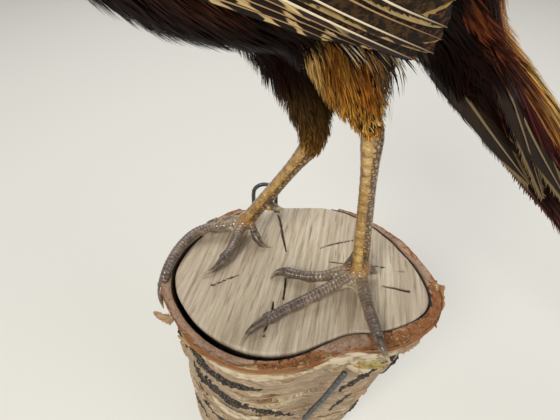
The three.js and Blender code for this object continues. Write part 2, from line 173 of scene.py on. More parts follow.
def flare_at(angle, z):
    """How much nearer the pith the stub's sides are than at the rim."""
    loose = np.maximum(0, np.cos(angle - LOOSE_ANGLE)) ** 3
    return (FLARE + FLARE_LOOSE * loose) * (1 - ease(LOG_TOP - FLARE_DEPTH, LOG_TOP, z))


SAW_LINES = np.array([0.191, 0.982])  # the way the saw went, on the top face
# Each crack runs through some points of the top face, and has its greatest width.
CRACKS = [
    (0.9, [(-8.3, -3), (-8.3, -6.4), (-7.1, -14.6), (-6.2, -23.8), (-4.7, -35.2)]),
    (0.35, [(-4.9, -50.7), (-5.6, -58.4), (-6.2, -64.8)]),
    (0.3, [(-10.3, -65.9), (-10.7, -71.9)]),
    (0.5, [(-12.4, -76.6), (-13.8, -83.1)]),
    (0.45, [(11.2, -32.7), (15.8, -30.3), (20.1, -28.9), (27.2, -26.8)]),
    (0.3, [(14.6, -42.2), (20.6, -43.3), (25, -44.4)]),
    (0.35, [(32.3, -44.5), (39.2, -46.1)]),
    (0.35, [(40.8, -48.6), (46.7, -48.8)]),
    (0.45, [(34.6, -56.7), (40.6, -58.7), (46, -60.4)]),
    (0.25, [(-37.2, -57.3), (-30.4, -53.3), (-25.1, -50.4)]),
]


def crack_depth(points):
    """From 0 to 1, how deep in a crack each point of the top face lies."""
    deepest = np.zeros(len(points))
    wander = 0.5 * ripple(np.column_stack([points, 0 * points[:, :1]]), 3.0, 5.0)
    for width, line in CRACKS:
        line = np.array(line, float)
        lengths = norm(np.diff(line, axis=0))
        total, passed = lengths.sum(), 0.0
        for start, end, length in zip(line[:-1], line[1:], lengths):
            share = np.clip((points - start) @ (end - start) / length**2, 0, 1)
            distance = norm(points - start - share[:, None] * (end - start))
            along = (passed + share * length) / total
            half = 0.5 * width * np.sqrt(np.clip(4 * along * (1 - along), 0.02, 1)) + 0.3
            deepest = np.maximum(deepest, np.clip(1 - (distance + wander * 0.4) / half, 0, 1))
            passed += length
    return deepest


WOOD_RINGS = 150  # of faces, from the pith to the edge of the top
SIDE_ROWS = 12
WOOD_ROWS = WOOD_RINGS + SIDE_ROWS + 2
STREAKS, WAVES, CRACKED, ROUNDED = 0.10, 0.22, 1.3, 0.7  # relief of the sawn face


def place_wood(u, v):
    row = np.round(v * WOOD_ROWS)
    angle = 2 * math.pi * u
    edge = wood_edge(angle)
    on_top = np.minimum(row / WOOD_RINGS, 1)
    side = np.clip((row - WOOD_RINGS) / SIDE_ROWS, 0, 1)
    z = LOG_TOP + (LOG_BOTTOM - LOG_TOP) * side**1.5
    radius = np.where(row > WOOD_RINGS + SIDE_ROWS, edge * (WOOD_ROWS - row) / 2, edge * on_top)
    radius = np.where(side > 0, np.maximum(radius - flare_at(angle, z) - side, 0), radius)
    points = on_stub(angle, radius, z)
    flat = points[:, :2]
    across = flat @ np.array([SAW_LINES[1], -SAW_LINES[0]])
    along = flat @ SAW_LINES
    lift = STREAKS * ripple(stack(across, along / 18, 0), 1.3, 2.0)
    lift += WAVES * ripple(stack(across / 3, along / 40, 0), 1.6, 9.0)
    lift -= CRACKED * crack_depth(flat) + ROUNDED * ease(0.985, 1.0, on_top)
    points[:, 2] += np.where(row <= WOOD_RINGS, lift, 0)
    return points


bm = bent_grid(AROUND, WOOD_ROWS, place_wood)
cut_at_wall(bm)
spots = spots_of(bm)
# The cracks' depth is kept for the material, which darkens them as painted shade.
number_layers(bm, crack=np.where(spots[:, 2] > LOG_TOP - 2.5, crack_depth(spots[:, :2]), 0))
log_wood = mesh_piece("log_wood_sawn", bm, "sawn_wood", "log_wood")


class Nodes:
    """Builds one material's node tree. `at` is the point read by its patterns, in metres. Where a value is a
    word, the piece's own numbers of that name are read."""

    def __init__(self, name, **plain):
        self.material = bpy.data.materials.new(name)
        self.material.use_nodes = True
        self.tree = self.material.node_tree
        self.shader = self.tree.nodes["Principled BSDF"]
        self.join(self.shader, {socket.replace("_", " "): value for socket, value in plain.items()})
        self.at = self.add("TexCoord").outputs["Object"]

    def join(self, node, inputs):
        """Sets a node's inputs, or links them to what they read."""
        for key, value in inputs.items():
            socket = node.inputs[key]
            if isinstance(value, str):
                value = self.attribute(value)
            if isinstance(value, bpy.types.NodeSocket):
                self.tree.links.new(value, socket)
            else:
                socket.default_value = (*value, 1) if socket.type == "RGBA" else value
        return node

    def add(self, kind, inputs=None, **settings):
        node = self.tree.nodes.new("ShaderNode" + kind)
        for key, value in settings.items():
            setattr(node, key, value)
        return self.join(node, inputs or {})

    def attribute(self, name, output="Fac"):
        return self.add("Attribute", attribute_name=name).outputs[output]

    def stretched(self, scale, turn=(0, 0, 0), source=None):
        inputs = {"Vector": source or self.at, "Scale": scale, "Rotation": turn}
        return self.add("Mapping", inputs).outputs["Vector"]

    def grain(self, scale, detail=3.0, where=None, roughness=0.55):
        inputs = {"Vector": where or self.at, "Scale": scale, "Detail": detail, "Roughness": roughness}
        return self.add("TexNoise", inputs).outputs["Fac"]

    def ramp(self, value, *stops):
        """A value turned into a colour. Each stop is its place and its colour's red, green and blue."""
        node = self.add("ValToRGB", {"Fac": value})
        elements = node.color_ramp.elements
        while len(elements) < len(stops):
            elements.new(0.5)
        for element, (place, *colour) in zip(elements, stops):
            element.position = place
            element.color = (*colour, 1)
        return node.outputs["Color"]

    def level(self, value, low, high, to_low=0.0, to_high=1.0):
        inputs = {"Value": value, 1: low, 2: high, 3: to_low, 4: to_high}
        return self.add("MapRange", inputs).outputs["Result"]

    def math(self, operation, a, b=0.0):
        return self.add("Math", {0: a, 1: b}, operation=operation).outputs["Value"]

    def plus(self, a, *more):
        for b in more:
            a = self.math("ADD", a, b)
        return a

    def minus(self, a, b):
        return self.math("SUBTRACT", a, b)

    def times(self, a, b):
        return self.math("MULTIPLY", a, b)

    def mix(self, share, a, b):
        return self.add("Mix", {0: share, 6: a, 7: b}, data_type="RGBA").outputs[2]

    def over(self, tone, *layers):
        """Lays colours over a tone. Each layer is a value, the levels that make it a share, and a colour."""
        for value, levels, colour in layers:
            tone = self.mix(self.level(value, *levels), tone, colour)
        return tone

    def finish(self, pieces, colour=None, height=None, depth=0.0002):
        """Joins colour and bump to the shader, and gives the material to a piece or to some."""
        if colour is not None:
            self.join(self.shader, {"Base Color": colour})
        if height is not None:
            bump = self.add("Bump", {"Height": height, "Distance": depth, "Strength": 1.0})
            self.join(self.shader, {"Normal": bump.outputs["Normal"]})
        for piece in pieces if isinstance(pieces, list) else [pieces]:
            piece.data.materials.append(self.material)


wood = Nodes("sawn birch", Roughness=0.75)
turned = wood.stretched((1, 1, 1), (0, 0, math.atan2(*SAW_LINES)))
streaks = wood.grain(760, 4, wood.stretched((1, 0.05, 0.12), source=turned), 0.6)
broad = wood.grain(150, 4, wood.stretched((1, 0.1, 0.12), source=turned))
scratches = wood.grain(980, 2, wood.stretched((1, 0.07, 0.12), source=turned))
fibre = wood.grain(2400, 2)
tone = wood.over(
    wood.ramp(streaks, (0.3, 0.33, 0.245, 0.15), (0.46, 0.55, 0.45, 0.315), (0.64, 0.70, 0.605, 0.46)),
    (broad, (0.48, 0.68, 0, 0.6), (0.36, 0.26, 0.17)),
    (scratches, (0.6, 0.7, 0, 0.55), (0.19, 0.115, 0.07)),
    (wood.grain(30, 3), (0.5, 0.72, 0, 0.4), (0.50, 0.39, 0.30)),
    (fibre, (0.45, 0.7, 0, 0.2), (0.68, 0.62, 0.54)),
    # Painted shade: the cracks of the sawn face are darkened to near black-brown, on top of their cut relief.
    ("crack", (0.06, 0.5), (0.042, 0.022, 0.012)),
)
wood.finish(log_wood, tone, wood.plus(streaks, fibre), 0.00025)

# ---------------------------------------------------------------- the bark
# Birch bark, still round the wood but shrunk away from it at the front left.
# Outside it is papery and cream, with rough black scars; the sawn rim shows its rusty inner layer.
bark_inside, bark_edge = rim_radius(2), rim_radius(3)
OUTER_ROWS, RIM_ROWS, INNER_ROWS = 240, 10, 16
BARK_ROWS = OUTER_ROWS + RIM_ROWS + INNER_ROWS + 1
# Rough black scars of the outer bark: angle in degrees, height, and half height of each along its length.
SCARS = [
    [(201, 60, 1), (207, 51, 6), (215, 45, 7), (230, 39, 6.5), (244, 42.5, 4.5), (256, 43.5, 0.5)],
    [(207, 22, 1), (215, 17, 8), (229, 18, 9), (238, 13, 8), (247, 14, 6), (256, 11.5, 4.5),
     (268, 3, 4), (281, -15, 1)],
    [(301, 20, 1), (305, 30, 6), (310, 41, 8), (314, 53, 7), (318, 65, 1)],
    [(304, -14, 1), (308, 2, 8), (312, 16, 1)],
    [(322, 30, 1), (328, 33, 7), (337, 30, 6), (345, 26, 1)],
    [(188, 40, 1), (194, 37, 5), (203, 33, 1)],
    [(210, -7, 1), (216, -6, 4), (222, -8, 1)],
    [(214, -29, 1), (221, -30, 5), (232, -36, 6), (246, -40, 1)],
    [(262, -48, 1), (274, -46, 5), (290, -50, 6), (302, -46, 1)],
    [(196, -62, 1), (206, -60, 5), (218, -66, 1)],
    [(238, -80, 1), (250, -84, 6), (262, -82, 1)],
    [(318, -38, 1), (328, -42, 7), (338, -40, 1)],
    [(346, -6, 1), (354, -8, 5), (359, -6, 1)],
    [(160, 20, 1), (170, 16, 6), (182, 19, 1)],
]


def scar_share(angle, z):
    """From 0 to 1, how far inside a scar of the bark each place is."""
    degrees = np.degrees(angle) % 360
    spot = stack(np.cos(angle) * 60, np.sin(angle) * 60, 0.6 * z)
    ragged = 0.4 * ripple(spot, 5.0, 3.0) + 0.55 * ripple(spot, 1.7, 7.0)
    inside = np.zeros_like(z)
    for scar in SCARS:
        angles, middles, halves = np.array(scar, float).T
        within = (degrees > angles[0]) & (degrees < angles[-1])
        half = np.interp(degrees, angles, halves)
        depth = 1 - np.abs(z - np.interp(degrees, angles, middles)) / half + ragged
        inside = np.maximum(inside, np.where(within, depth, 0))
    return np.clip(inside * 1.5, 0, 1)


def rust_share(angle):
    """From 0 to 1, how far the rusty layer of the bark is bared at each angle of the rim."""
    degrees = np.degrees(angle) % 360
    front = ease(244, 256, degrees) * (1 - ease(276, 286, degrees))
    right = ease(300, 308, degrees) * (1 - ease(346, 356, degrees))
    return 0.15 + 0.85 * np.maximum(front, right)


def outside_at(angle, z):
    """How far from the pith the bark's outside is, without its relief."""
    return bark_edge(angle) - flare_at(angle, z)


def place_bark(u, v):
    row = np.round(v * BARK_ROWS)
    angle = 2 * math.pi * u
    spot = stack(np.cos(angle) * 50, np.sin(angle) * 50, 0)
    rise = np.clip(row / OUTER_ROWS, 0, 1)
    z = LOG_BOTTOM + (LOG_TOP - LOG_BOTTOM) * (1 - (1 - rise) ** 1.6)
    # Papery sheets end in low ragged steps that run round the stub.
    sheet = z + 4.5 * ripple(spot, 24, 1.0) + 1.6 * ripple(spot, 6, 4.0)
    torn, solid = stack(*spot.T[:2], sheet), stack(*spot.T[:2], z)
    skin = 1.1 * ease(0, 1, (sheet / 8.6) % 1.0) * ease(-0.3, 0.3, ripple(torn, 17, 8.0))
    on_outer = row <= OUTER_ROWS
    scar = np.where(on_outer, scar_share(angle, z), 0)
    rough = ripple(solid, 1.9, 2.0) + 0.8 * ripple(solid, 0.8, 6.0)
    outer = outside_at(angle, z) + skin + scar * (0.9 + 0.9 * rough)
    outer = outer + 0.12 * rough + 0.5 * ripple(solid, 9, 4.4)
    wave = 0.7 * ripple(spot, 11, 5.0) + 0.5 * ripple(spot, 3.1, 2.5)
    # Across the rim the rusty middle layer is torn a little lower than the rest.
    rim = np.clip((row - OUTER_ROWS) / RIM_ROWS, 0, 1)
    fall = np.clip((row - OUTER_ROWS - RIM_ROWS) / INNER_ROWS, 0, 1)
    inner = bark_inside(angle) + 0.35 * wave * (1 - fall)
    radius = outer + (inner - outer) * rim
    crumbs = 0.55 * ripple(stack(*(2 * spot).T[:2], rim * 9), 1.9, 3.3)
    crumbs += 0.45 * ripple(stack(*spot.T[:2], rim * 5), 0.8, 1.2)
    crumbs *= 0.5 + 1.3 * rust_share(angle)
    hump = np.sin(math.pi * rim)
    top = LOG_TOP - 0.4 + 0.5 * wave - 0.9 * hump**2 + crumbs * np.maximum(hump, 0.35)
    z = np.where(on_outer, np.minimum(z, top), top + (LOG_BOTTOM - top) * fall**1.7)
    radius = np.where(fall > 0, radius - flare_at(angle, z), radius)
    return on_stub(angle, radius, z)


# The last row of the grid is the first: it closes the bottom edge.
bm = bent_grid(AROUND, BARK_ROWS, place_bark)
cut_at_wall(bm)
spots = spots_of(bm)
down = LOG_TOP - spots[:, 2]
from_pith = spots[:, :2] - PITH - LOG_LEAN * down[:, None]
turn = np.arctan2(from_pith[:, 1], from_pith[:, 0])
inside = bark_inside(turn) - flare_at(turn, spots[:, 2])
thickness = (norm(from_pith) - inside) / np.maximum(outside_at(turn, spots[:, 2]) - inside, 1.5)
scarred = np.where((thickness > 0.55) & (down > 1.2), scar_share(turn, spots[:, 2]), 0)
number_layers(bm, scar=scarred, depth=np.clip(thickness, 0, 1), down=down, rust=rust_share(turn))
log_bark = mesh_piece("log_bark_sheath", bm, "birch_bark", "log_bark")

bark = Nodes("birch bark", Roughness=0.7)
lifted = bark.add("CombineXYZ", {"Z": bark.times(bark.grain(38, 2), 0.03)}).outputs[0]
bent = bark.add("VectorMath", {0: bark.at, 1: lifted}, operation="ADD").outputs[0]
bands = bark.grain(30, 6, bark.stretched((1, 1, 6), source=bent), 0.62)
thin = bark.grain(80, 4, bark.stretched((1, 1, 13), source=bent), 0.6)
patches = bark.grain(34, 4, bark.stretched((1, 1, 1.8), source=bent))
pores = bark.grain(1300, 3)
GREY, TAN, PALE, WHITE = (0.43, 0.295, 0.185), (0.38, 0.19, 0.07), (0.62, 0.47, 0.25), (0.80, 0.70, 0.50)
BROWN = (0.13, 0.07, 0.035)
paper = bark.over(
    bark.ramp(
        bands, (0.34, *TAN), (0.395, *BROWN), (0.41, *PALE), (0.455, *GREY), (0.49, *GREY), (0.50, *WHITE),
        (0.525, *PALE), (0.555, *TAN), (0.565, *WHITE), (0.60, *GREY), (0.64, *BROWN), (0.66, *PALE),
    ),
    (patches, (0.46, 0.56, 0, 0.75), GREY),
    (thin, (0.54, 0.64, 0, 0.7), (0.24, 0.135, 0.075)),
    (thin, (0.42, 0.36, 0, 0.6), WHITE),
)
# Under the rim the outer sheets are torn back to straw-coloured and rusty ones.
wander = bark.minus(bark.plus("down", bark.times(bark.minus(bands, 0.5), 22.0)), bark.times("rust", 4.5))
straw = bark.ramp(
    bark.level(wander, 0, 20), (0.0, 0.34, 0.125, 0.035), (0.22, 0.42, 0.19, 0.055), (0.28, 0.62, 0.46, 0.20),
    (0.40, 0.46, 0.32, 0.11), (0.44, 0.82, 0.74, 0.54), (0.52, 0.56, 0.42, 0.19), (0.58, 0.26, 0.13, 0.05),
    (0.62, 0.80, 0.72, 0.54), (0.70, 0.52, 0.38, 0.20), (0.85, 0.50, 0.36, 0.24),
)
black = bark.ramp(pores, (0.40, 0.012, 0.010, 0.008), (0.56, 0.045, 0.034, 0.025), (0.66, 0.33, 0.23, 0.14))
paper = bark.over(bark.mix(bark.level(wander, 11, 17, 1, 0), paper, straw), ("scar", (0.2, 0.4), black))
# Across the rim: pinkish-grey bast inside, a rusty torn layer, then the papery edge.
crumble = bark.grain(520, 4, roughness=0.65)
across = bark.plus("depth", bark.times(bark.minus(crumble, 0.5), 1.5))
across = bark.plus(across, bark.times(bark.minus("rust", 0.35), 1.05))
across = bark.math("MINIMUM", across, bark.level("rust", 0.5, 0.95, 1.12, 0.86))
across = bark.plus(across, bark.times(bark.minus(bark.grain(300, 5, roughness=0.7), 0.5), 1.1))
rim_tone = bark.ramp(
    across, (0.0, 0.32, 0.19, 0.115), (0.15, 0.45, 0.31, 0.215), (0.56, 0.50, 0.35, 0.24),
    (0.70, 0.36, 0.13, 0.045), (0.84, 0.48, 0.20, 0.06), (0.92, 0.20, 0.075, 0.025), (1.02, 0.52, 0.27, 0.09),
    (1.12, 0.66, 0.50, 0.24),
)
rim_tone = bark.over(rim_tone, (crumble, (0.56, 0.64, 0, 0.55), (0.10, 0.045, 0.02)))
tone = bark.over(paper, ("down", (1.0, 2.8, 1, 0), rim_tone))
# Painted shade: the crumbly hollows at the rim's inner edge are darkened, most where the rusty layer is
# bared.
hollow_shade = bark.times(bark.level(crumble, 0.5, 0.58), bark.level("depth", 0.1, 0.45, 1, 0))
tone = bark.mix(bark.times(hollow_shade, "rust"), tone, (0.03, 0.016, 0.01))
# Painted shade: the bark's inside face, in the gap against the wood, is darkened.
tone = bark.over(tone, ("depth", (0.0, 0.08, 1, 0), (0.06, 0.03, 0.018)))
bark.finish(log_bark, tone, bark.plus(bark.times(thin, 2.0), pores, crumble), 0.0006)

# ---------------------------------------------------------------- curls of bark
# Sheets of the outer bark that have sprung loose: one sticks out at the left, one straw-coloured sliver
# lies at the front, and there are torn lumps and flakes round the rim.
CURLS = [  # colour, curl, tilt, and stations of [angle, height, off the bark, half width]
    ("tan", 0.5, 0.6, [(209, 76, 0, 1.6), (207, 76.5, 0.8, 1.8), (205.5, 77, 2.2, 1.6),
        (204, 77.5, 3.6, 1.2), (203, 79, 4.9, 0.4)]),
    ("rust", -0.5, 0.2, [(207, 73, 0, 1.2), (206, 73, 1.2, 1.2), (205, 73.5, 2.4, 0.8),
        (204, 74.5, 3.4, 0.3)]),
    ("straw", 0.4, 1.3, [(291, 72.5, 0.4, 0.6), (296, 72, 1.4, 2.1), (300, 70.5, 2.2, 2.3),
        (304, 68.5, 3.2, 1.4), (308, 66, 3.8, 0.3)]),
    ("pale", 0.3, 1.3, [(276, 74, 0.5, 0.4), (284, 75.5, 1.0, 1.3), (293, 76.5, 1.2, 1.5),
        (301, 76, 1.4, 1.2), (308, 75, 1.0, 0.4)]),
    ("pale", 0.3, 1.2, [(222, 70, 0.3, 0.2), (236, 69.2, 0.4, 0.35), (252, 68.6, 0.5, 0.4),
        (268, 70, 0.5, 0.5), (284, 74, 0.5, 0.3)]),
    ("pale", 0.2, 1.2, [(232, 69.5, 0.2, 0.3), (242, 68.8, 0.5, 0.8), (254, 68.4, 0.6, 0.9),
        (266, 69.5, 0.4, 0.4)]),
    ("tan", -0.3, 1.0, [(226, 65, 0.2, 0.3), (240, 62.4, 0.4, 0.5), (258, 62, 0.5, 0.6),
        (274, 66, 0.5, 0.6), (288, 71, 0.4, 0.3)]),
    ("pale", 0.6, 0.6, [(297, 60, 0.2, 0.6), (300, 58.5, 1.4, 1.2), (303, 57.5, 1.8, 1.2),
        (306, 58, 2.6, 0.3)]),
    ("rust", 0.5, 0.6, [(299, 62, 0.2, 0.5), (302, 61.5, 1.0, 0.9), (305, 62.5, 2.0, 0.3)]),
    ("rust", 0.5, -0.2, [(354, 76.5, -0.8, 1.2), (350, 78.2, -0.5, 1.8), (345, 78.8, -0.3, 1.8),
        (340, 78.4, -0.4, 1.4), (336, 77, -0.8, 0.5)]),
    ("rust", -0.4, 0.4, [(338, 74, -0.3, 1.2), (335, 75, 0.2, 1.4), (332, 75.5, 0.7, 0.8),
        (330, 76.5, 1.3, 0.3)]),
    ("tan", 0.5, 0.8, [(323, 74, -0.2, 0.5), (319, 73.5, 0.3, 0.8), (315, 73.5, 0.5, 0.8),
        (312, 74, 0.9, 0.3)]),
    ("tan", 0.5, 0.2, [(217, 60, 0, 0.7), (214, 59.5, 1.0, 1.2), (211, 60, 2.0, 1.0), (209, 61.5, 2.8, 0.3)]),
    ("tan", 0.4, 0.3, [(320, 12, 0.2, 0.8), (317, 13, 0.8, 1.6), (313, 12, 1.1, 1.4), (310, 13, 1.7, 0.4)]),
    ("tan", -0.5, 0.3, [(196, 8, 0, 1.0), (192, 7, 1.0, 1.8), (188, 8.5, 1.8, 1.2), (186, 10, 2.6, 0.4)]),
    ("pale", 0.5, 0.3, [(262, -28, 0.1, 0.8), (254, -29, 0.8, 1.8), (244, -28, 1.2, 1.7),
        (236, -26, 1.8, 0.4)]),
    ("pale", 0.5, 0.3, [(226, 2, 0.1, 0.6), (236, 0, 0.8, 1.6), (248, -1, 1.0, 1.5), (258, 1, 1.4, 0.4)]),
    ("tan", 0.5, 0.3, [(286, -66, 0.1, 0.8), (278, -68, 0.9, 2.0), (268, -68, 1.4, 1.6),
        (262, -66, 2.2, 0.4)]),
]


def run_of(line):
    """How far along a line of points each one is."""
    return np.concatenate([[0], np.cumsum(norm(np.diff(line, axis=0)))])


def smooth_line(points, count):
    """A smooth line through some rows of numbers, as `count` rows. The first three are a place."""
    rows = np.asarray(points, float)
    knots = np.concatenate([[0], np.cumsum(np.sqrt(norm(np.diff(rows[:, :3], axis=0))))])
    slopes = np.gradient(rows, knots, axis=0)
    at = np.linspace(0, knots[-1], count)
    i = np.clip(np.searchsorted(knots, at, "right") - 1, 0, len(rows) - 2)
    step = (knots[i + 1] - knots[i])[:, None]
    t = ((at - knots[i]) / step[:, 0])[:, None]
    near_next = t * t * (3 - 2 * t)
    return (
        rows[i] * (1 - near_next) + rows[i + 1] * near_next
        + step * (t * (1 - t) ** 2 * slopes[i] + t * t * (t - 1) * slopes[i + 1])
    )


def sampled(at, knots, rows):
    """Rows of numbers that are known at some knots, read at other places."""
    return stack(*(np.interp(at, knots, column) for column in rows.T))


def unit(rows):
    return rows / np.maximum(norm(rows), 1e-9)[..., None]


def frames_of(line, side):
    """Along a line of points: how far along each is in mm, and its tangent, side and top directions."""
    along = run_of(line)
    tangent = unit(np.gradient(line, along, axis=0))
    wide = unit(np.asarray(side, float) - (tangent @ np.asarray(side, float))[:, None] * tangent)
    return along, tangent, wide, np.cross(tangent, wide)


def join_in(bm, other):
    """Adds a shape to another and frees it."""
    mesh = bpy.data.meshes.new("loose")
    other.to_mesh(mesh)
    other.free()
    bm.from_mesh(mesh)
    bpy.data.meshes.remove(mesh)


CURL_SHEET = 0.35  # thickness
CURL_ROWS = 24
CURL_TONES = {"tan": 0.0, "straw": 0.33, "pale": 0.67, "rust": 1.0}
bm_curls = bmesh.new()
tones = []
for tone_name, curl, tilt, stations in CURLS:
    degrees, heights, off, half = np.array(stations, float).T
    angles = np.radians(degrees)
    roots = on_stub(angles, outside_at(angles, heights) + 0.6 + off, heights)
    line = smooth_line(np.column_stack([roots, half, np.cos(angles), np.sin(angles)]), CURL_ROWS)
    outward = np.column_stack([line[:, 4:], np.zeros(CURL_ROWS)])
    side = unit(np.array([0, 0, 1]) - tilt * outward)
    face = np.cross(np.gradient(line[:, :3], axis=0), side)
    face = unit(face * np.sign((face * outward).sum(axis=1) + 1e-6)[:, None])

    def place_curl(u, v):
        row = v * (CURL_ROWS - 1)
        at, across, up = (sampled(row, np.arange(CURL_ROWS), rows) for rows in (line, side, face))
        bend = (u - 0.5) * 2
        ragged = 1 + 0.9 * ripple(stack(v * 13, u * 2.5, stations[0][0]), 1.0)
        points = at[:, :3] + across * (bend * at[:, 3] * ragged)[:, None]
        return points + up * (curl * at[:, 3] * bend**2 + 0.3 * ragged)[:, None]

    piece = bent_grid(8, 30, place_curl)
    bmesh.ops.solidify(piece, geom=piece.faces[:], thickness=CURL_SHEET)
    bmesh.ops.recalc_face_normals(piece, faces=piece.faces)
    tones += [CURL_TONES[tone_name]] * len(piece.verts)
    join_in(bm_curls, piece)
number_layers(bm_curls, tone=tones)
bark_curls = mesh_piece("bark_curls", bm_curls, "birch_bark")
loose = Nodes("loose bark", Roughness=0.6)
sheet_grain = loose.grain(240, 4, loose.stretched((1, 1, 5)))
tone = loose.over(
    loose.ramp(
        "tone", (0.0, 0.47, 0.31, 0.17), (0.33, 0.54, 0.45, 0.17), (0.67, 0.66, 0.57, 0.40),
        (1.0, 0.44, 0.21, 0.075),
    ),
    (sheet_grain, (0.48, 0.64, 0, 0.7), (0.22, 0.12, 0.05)),
    (sheet_grain, (0.36, 0.28, 0, 0.7), (0.78, 0.70, 0.52)),
)
loose.finish(bark_curls, tone, sheet_grain, 0.0003)

# ---------------------------------------------------------------- the wires
# A loop of dark wire is driven into the top edge at the back, to hang on a screw hook. The stout wire
# inside the left leg comes out of the stub's front and is bent up along the bark.
LOOP_X, LOOP_Y, LOOP_HALF = -15.4, -3.2, 5.6
LOOP_FOOT, LOOP_SHOULDER = 62.0, 91.0
LOOP_WIRE_R = 1.0
LEG_WIRE = [
    (9, -44, -25), (6.5, -56, -25), (4.8, -61.5, -21), (6, -64.2, -9), (12.7, -76.2, 29), (17.5, -87, 63),
]
LEG_WIRE_R = 1.3


def limb(stations, around=16, rows=40, side=(0, 1, 0), relief=None, blunt=1.0):
    """An oval limb along stations of [x, y, z, half width, half depth], closed by round ends."""
    line = smooth_line([list(s) + [s[-1]] * (5 - len(s)) for s in stations], 4 * rows)
    along, _, wide, deep = frames_of(line[:, :3], side)
    knots = np.arange(len(line)) / (len(line) - 1)

    def place(u, v):
        share = v + 0.45 * (0.5 - 0.5 * np.cos(math.pi * v) - v)
        at, w, d = (sampled(share, knots, rows) for rows in (line, wide, deep))
        s = np.interp(share, knots, along)
        half = np.maximum(at[:, 3:], 0.15)
        near_end = np.minimum(s, along[-1] - s) / np.maximum(blunt * half.min(axis=1), 1e-3)
        round_end = np.sqrt(np.clip(1 - (1 - np.clip(near_end, 0, 1)) ** 2, 0, 1))
        angle = 2 * math.pi * u
        grow = relief(s, angle) if relief else 0
        wide_by = (half[:, 0] + grow) * np.cos(angle) * round_end
        deep_by = (half[:, 1] + grow) * np.sin(angle) * round_end
        return at[:, :3] + w * wide_by[:, None] + d * deep_by[:, None]

    return bent_grid(around, rows, place, weld=1e-3)


arch = np.linspace(0, math.pi, 9)
loop_line = [
    *((LOOP_X - LOOP_HALF, z) for z in (LOOP_FOOT, LOG_TOP)),
    *zip(LOOP_X - LOOP_HALF * np.cos(arch), LOOP_SHOULDER + LOOP_HALF * np.sin(arch)),
    *((LOOP_X + LOOP_HALF, z) for z in (LOG_TOP, LOOP_FOOT)),
]
loop = limb([(x, LOOP_Y, z, LOOP_WIRE_R) for x, z in loop_line], 14, 90)
hanger = mesh_piece("hanger_wire", loop, "dark_wire", "hanger_loop")
bent_up = limb([(*p, LEG_WIRE_R) for p in LEG_WIRE], 14, 60, side=(1, 0, 0), blunt=0.5)
leg_wire = mesh_piece("leg_wire", bent_up, "dark_wire", "leg_wire_end")
wire = Nodes("dull wire", Metallic=0.75, Roughness=0.42)
tarnish = wire.grain(420, 3)
tone = wire.ramp(tarnish, (0.35, 0.05, 0.055, 0.06), (0.65, 0.16, 0.17, 0.175))
wire.finish([hanger, leg_wire], tone, tarnish, 0.0001)

# ---------------------------------------------------------------- shanks and toes
# Varnished legs: ochre shanks with a row of plates down the front and small scales behind, and darker
# toes ringed by narrow plates, with a fold of skin between them. Each leg is one skin from the hock to
# the claws.
SHANK_R = 2.9
TOE_R = 2.55
HIND_TOE = 0.8  # the hind toe's thickness against the others'
HEEL_DROP = 0.72  # share of the shank at which the spur stands
LEGS = {
    "left": {
        "hock": (22.8, -57, 150),
        "heel": (25.2, -56, 87.5),
        "spur": (3.2, 7.4, -1.4),
        "flare": [(22.4, -55.4, 98), (21.2, -55, 93), (19.2, -54.8, 87.5)],
        "toes": {
            "middle": [
                (22, -57.5, 87), (14, -62.2, 85.2), (4.4, -67.8, 84), (-4.8, -73, 83.4), (-13.4, -78.5, 83),
            ],
            "inner": [(21.5, -54.6, 87), (9.7, -56.4, 84.4), (0.3, -54.4, 83.4), (-5.2, -52.2, 83)],
            "outer": [
                (25.6, -59, 86.6), (25.9, -66, 84.8), (26.6, -75, 83.6), (27.4, -83.5, 83.6),
                (27.6, -88, 83.8),
            ],
            "hind": [(26.8, -54.6, 89), (30.2, -53.4, 85.6)],
        },
        "claws": {
            "middle": (-22.2, -88, 80.8), "inner": (-11.8, -54.6, 80.9),
            "outer": (31.2, -94, 79), "hind": (34.0, -52.2, 82),
        },
    },
    "right": {
        "hock": (5, -37, 135.5),
        "heel": (-23.6, -22.4, 88),
        "spur": (9.5, -4, -1.4),
        "toes": {
            "middle": [
                (-26.4, -22.6, 87.2), (-33.5, -23.4, 86.2), (-40.5, -24, 85.4), (-47, -27, 84.6),
                (-52, -34.6, 83.9), (-54.8, -43, 83.2), (-56.8, -50.5, 80.6), (-58, -55, 76.5),
            ],
            "inner": [(-25.4, -25.5, 87), (-27.6, -32, 85.4), (-29.6, -38.4, 84.2), (-32.6, -44.8, 83.2)],
            "outer": [(-27, -20.4, 87.2), (-33, -18.2, 85), (-39.8, -17.4, 83.2)],
            "hind": [(-21.6, -24.6, 88.6), (-18.4, -30.4, 84)],
        },
        "claws": {
            "middle": (-57.4, -60, 69), "inner": (-41.8, -52, 80.9),
            "outer": (-45.6, -17.8, 80.9), "hind": (-11.8, -33.6, 81),
        },
    },
}
SHANK = [  # share of the way down, half width, half depth
    (-0.06, 3, 3.4), (0.04, 3.5, 4), (0.25, SHANK_R, 3.2), (0.7, SHANK_R, 3.3), (0.92, 3.2, 3.6),
    (1.02, 4, 4.2), (1.06, 2.4, 2.4),
]
UP = (0, 0, 1)


def fused(bm, voxel, rounds):
    """One closed skin round shapes that overlap, with small even faces."""
    mesh = bpy.data.meshes.new("rough")
    bm.to_mesh(mesh)
    bm.free()
    rough = bpy.data.objects.new("rough", mesh)
    bpy.context.scene.collection.objects.link(rough)
    remesh = rough.modifiers.new("even", "REMESH")
    remesh.mode = "VOXEL"
    remesh.voxel_size = voxel
    done = rough.evaluated_get(bpy.context.evaluated_depsgraph_get())
    skin = bmesh.new()
    skin.from_mesh(done.to_mesh())
    done.to_mesh_clear()
    bpy.data.objects.remove(rough)
    all_axes = {"use_axis_x": True, "use_axis_y": True, "use_axis_z": True}
    for _ in range(rounds):
        bmesh.ops.smooth_vert(skin, verts=skin.verts, factor=0.5, **all_axes)
    skin.normal_update()
    return skin


def normals_of(bm):
    return np.array([v.normal[:] for v in bm.verts])


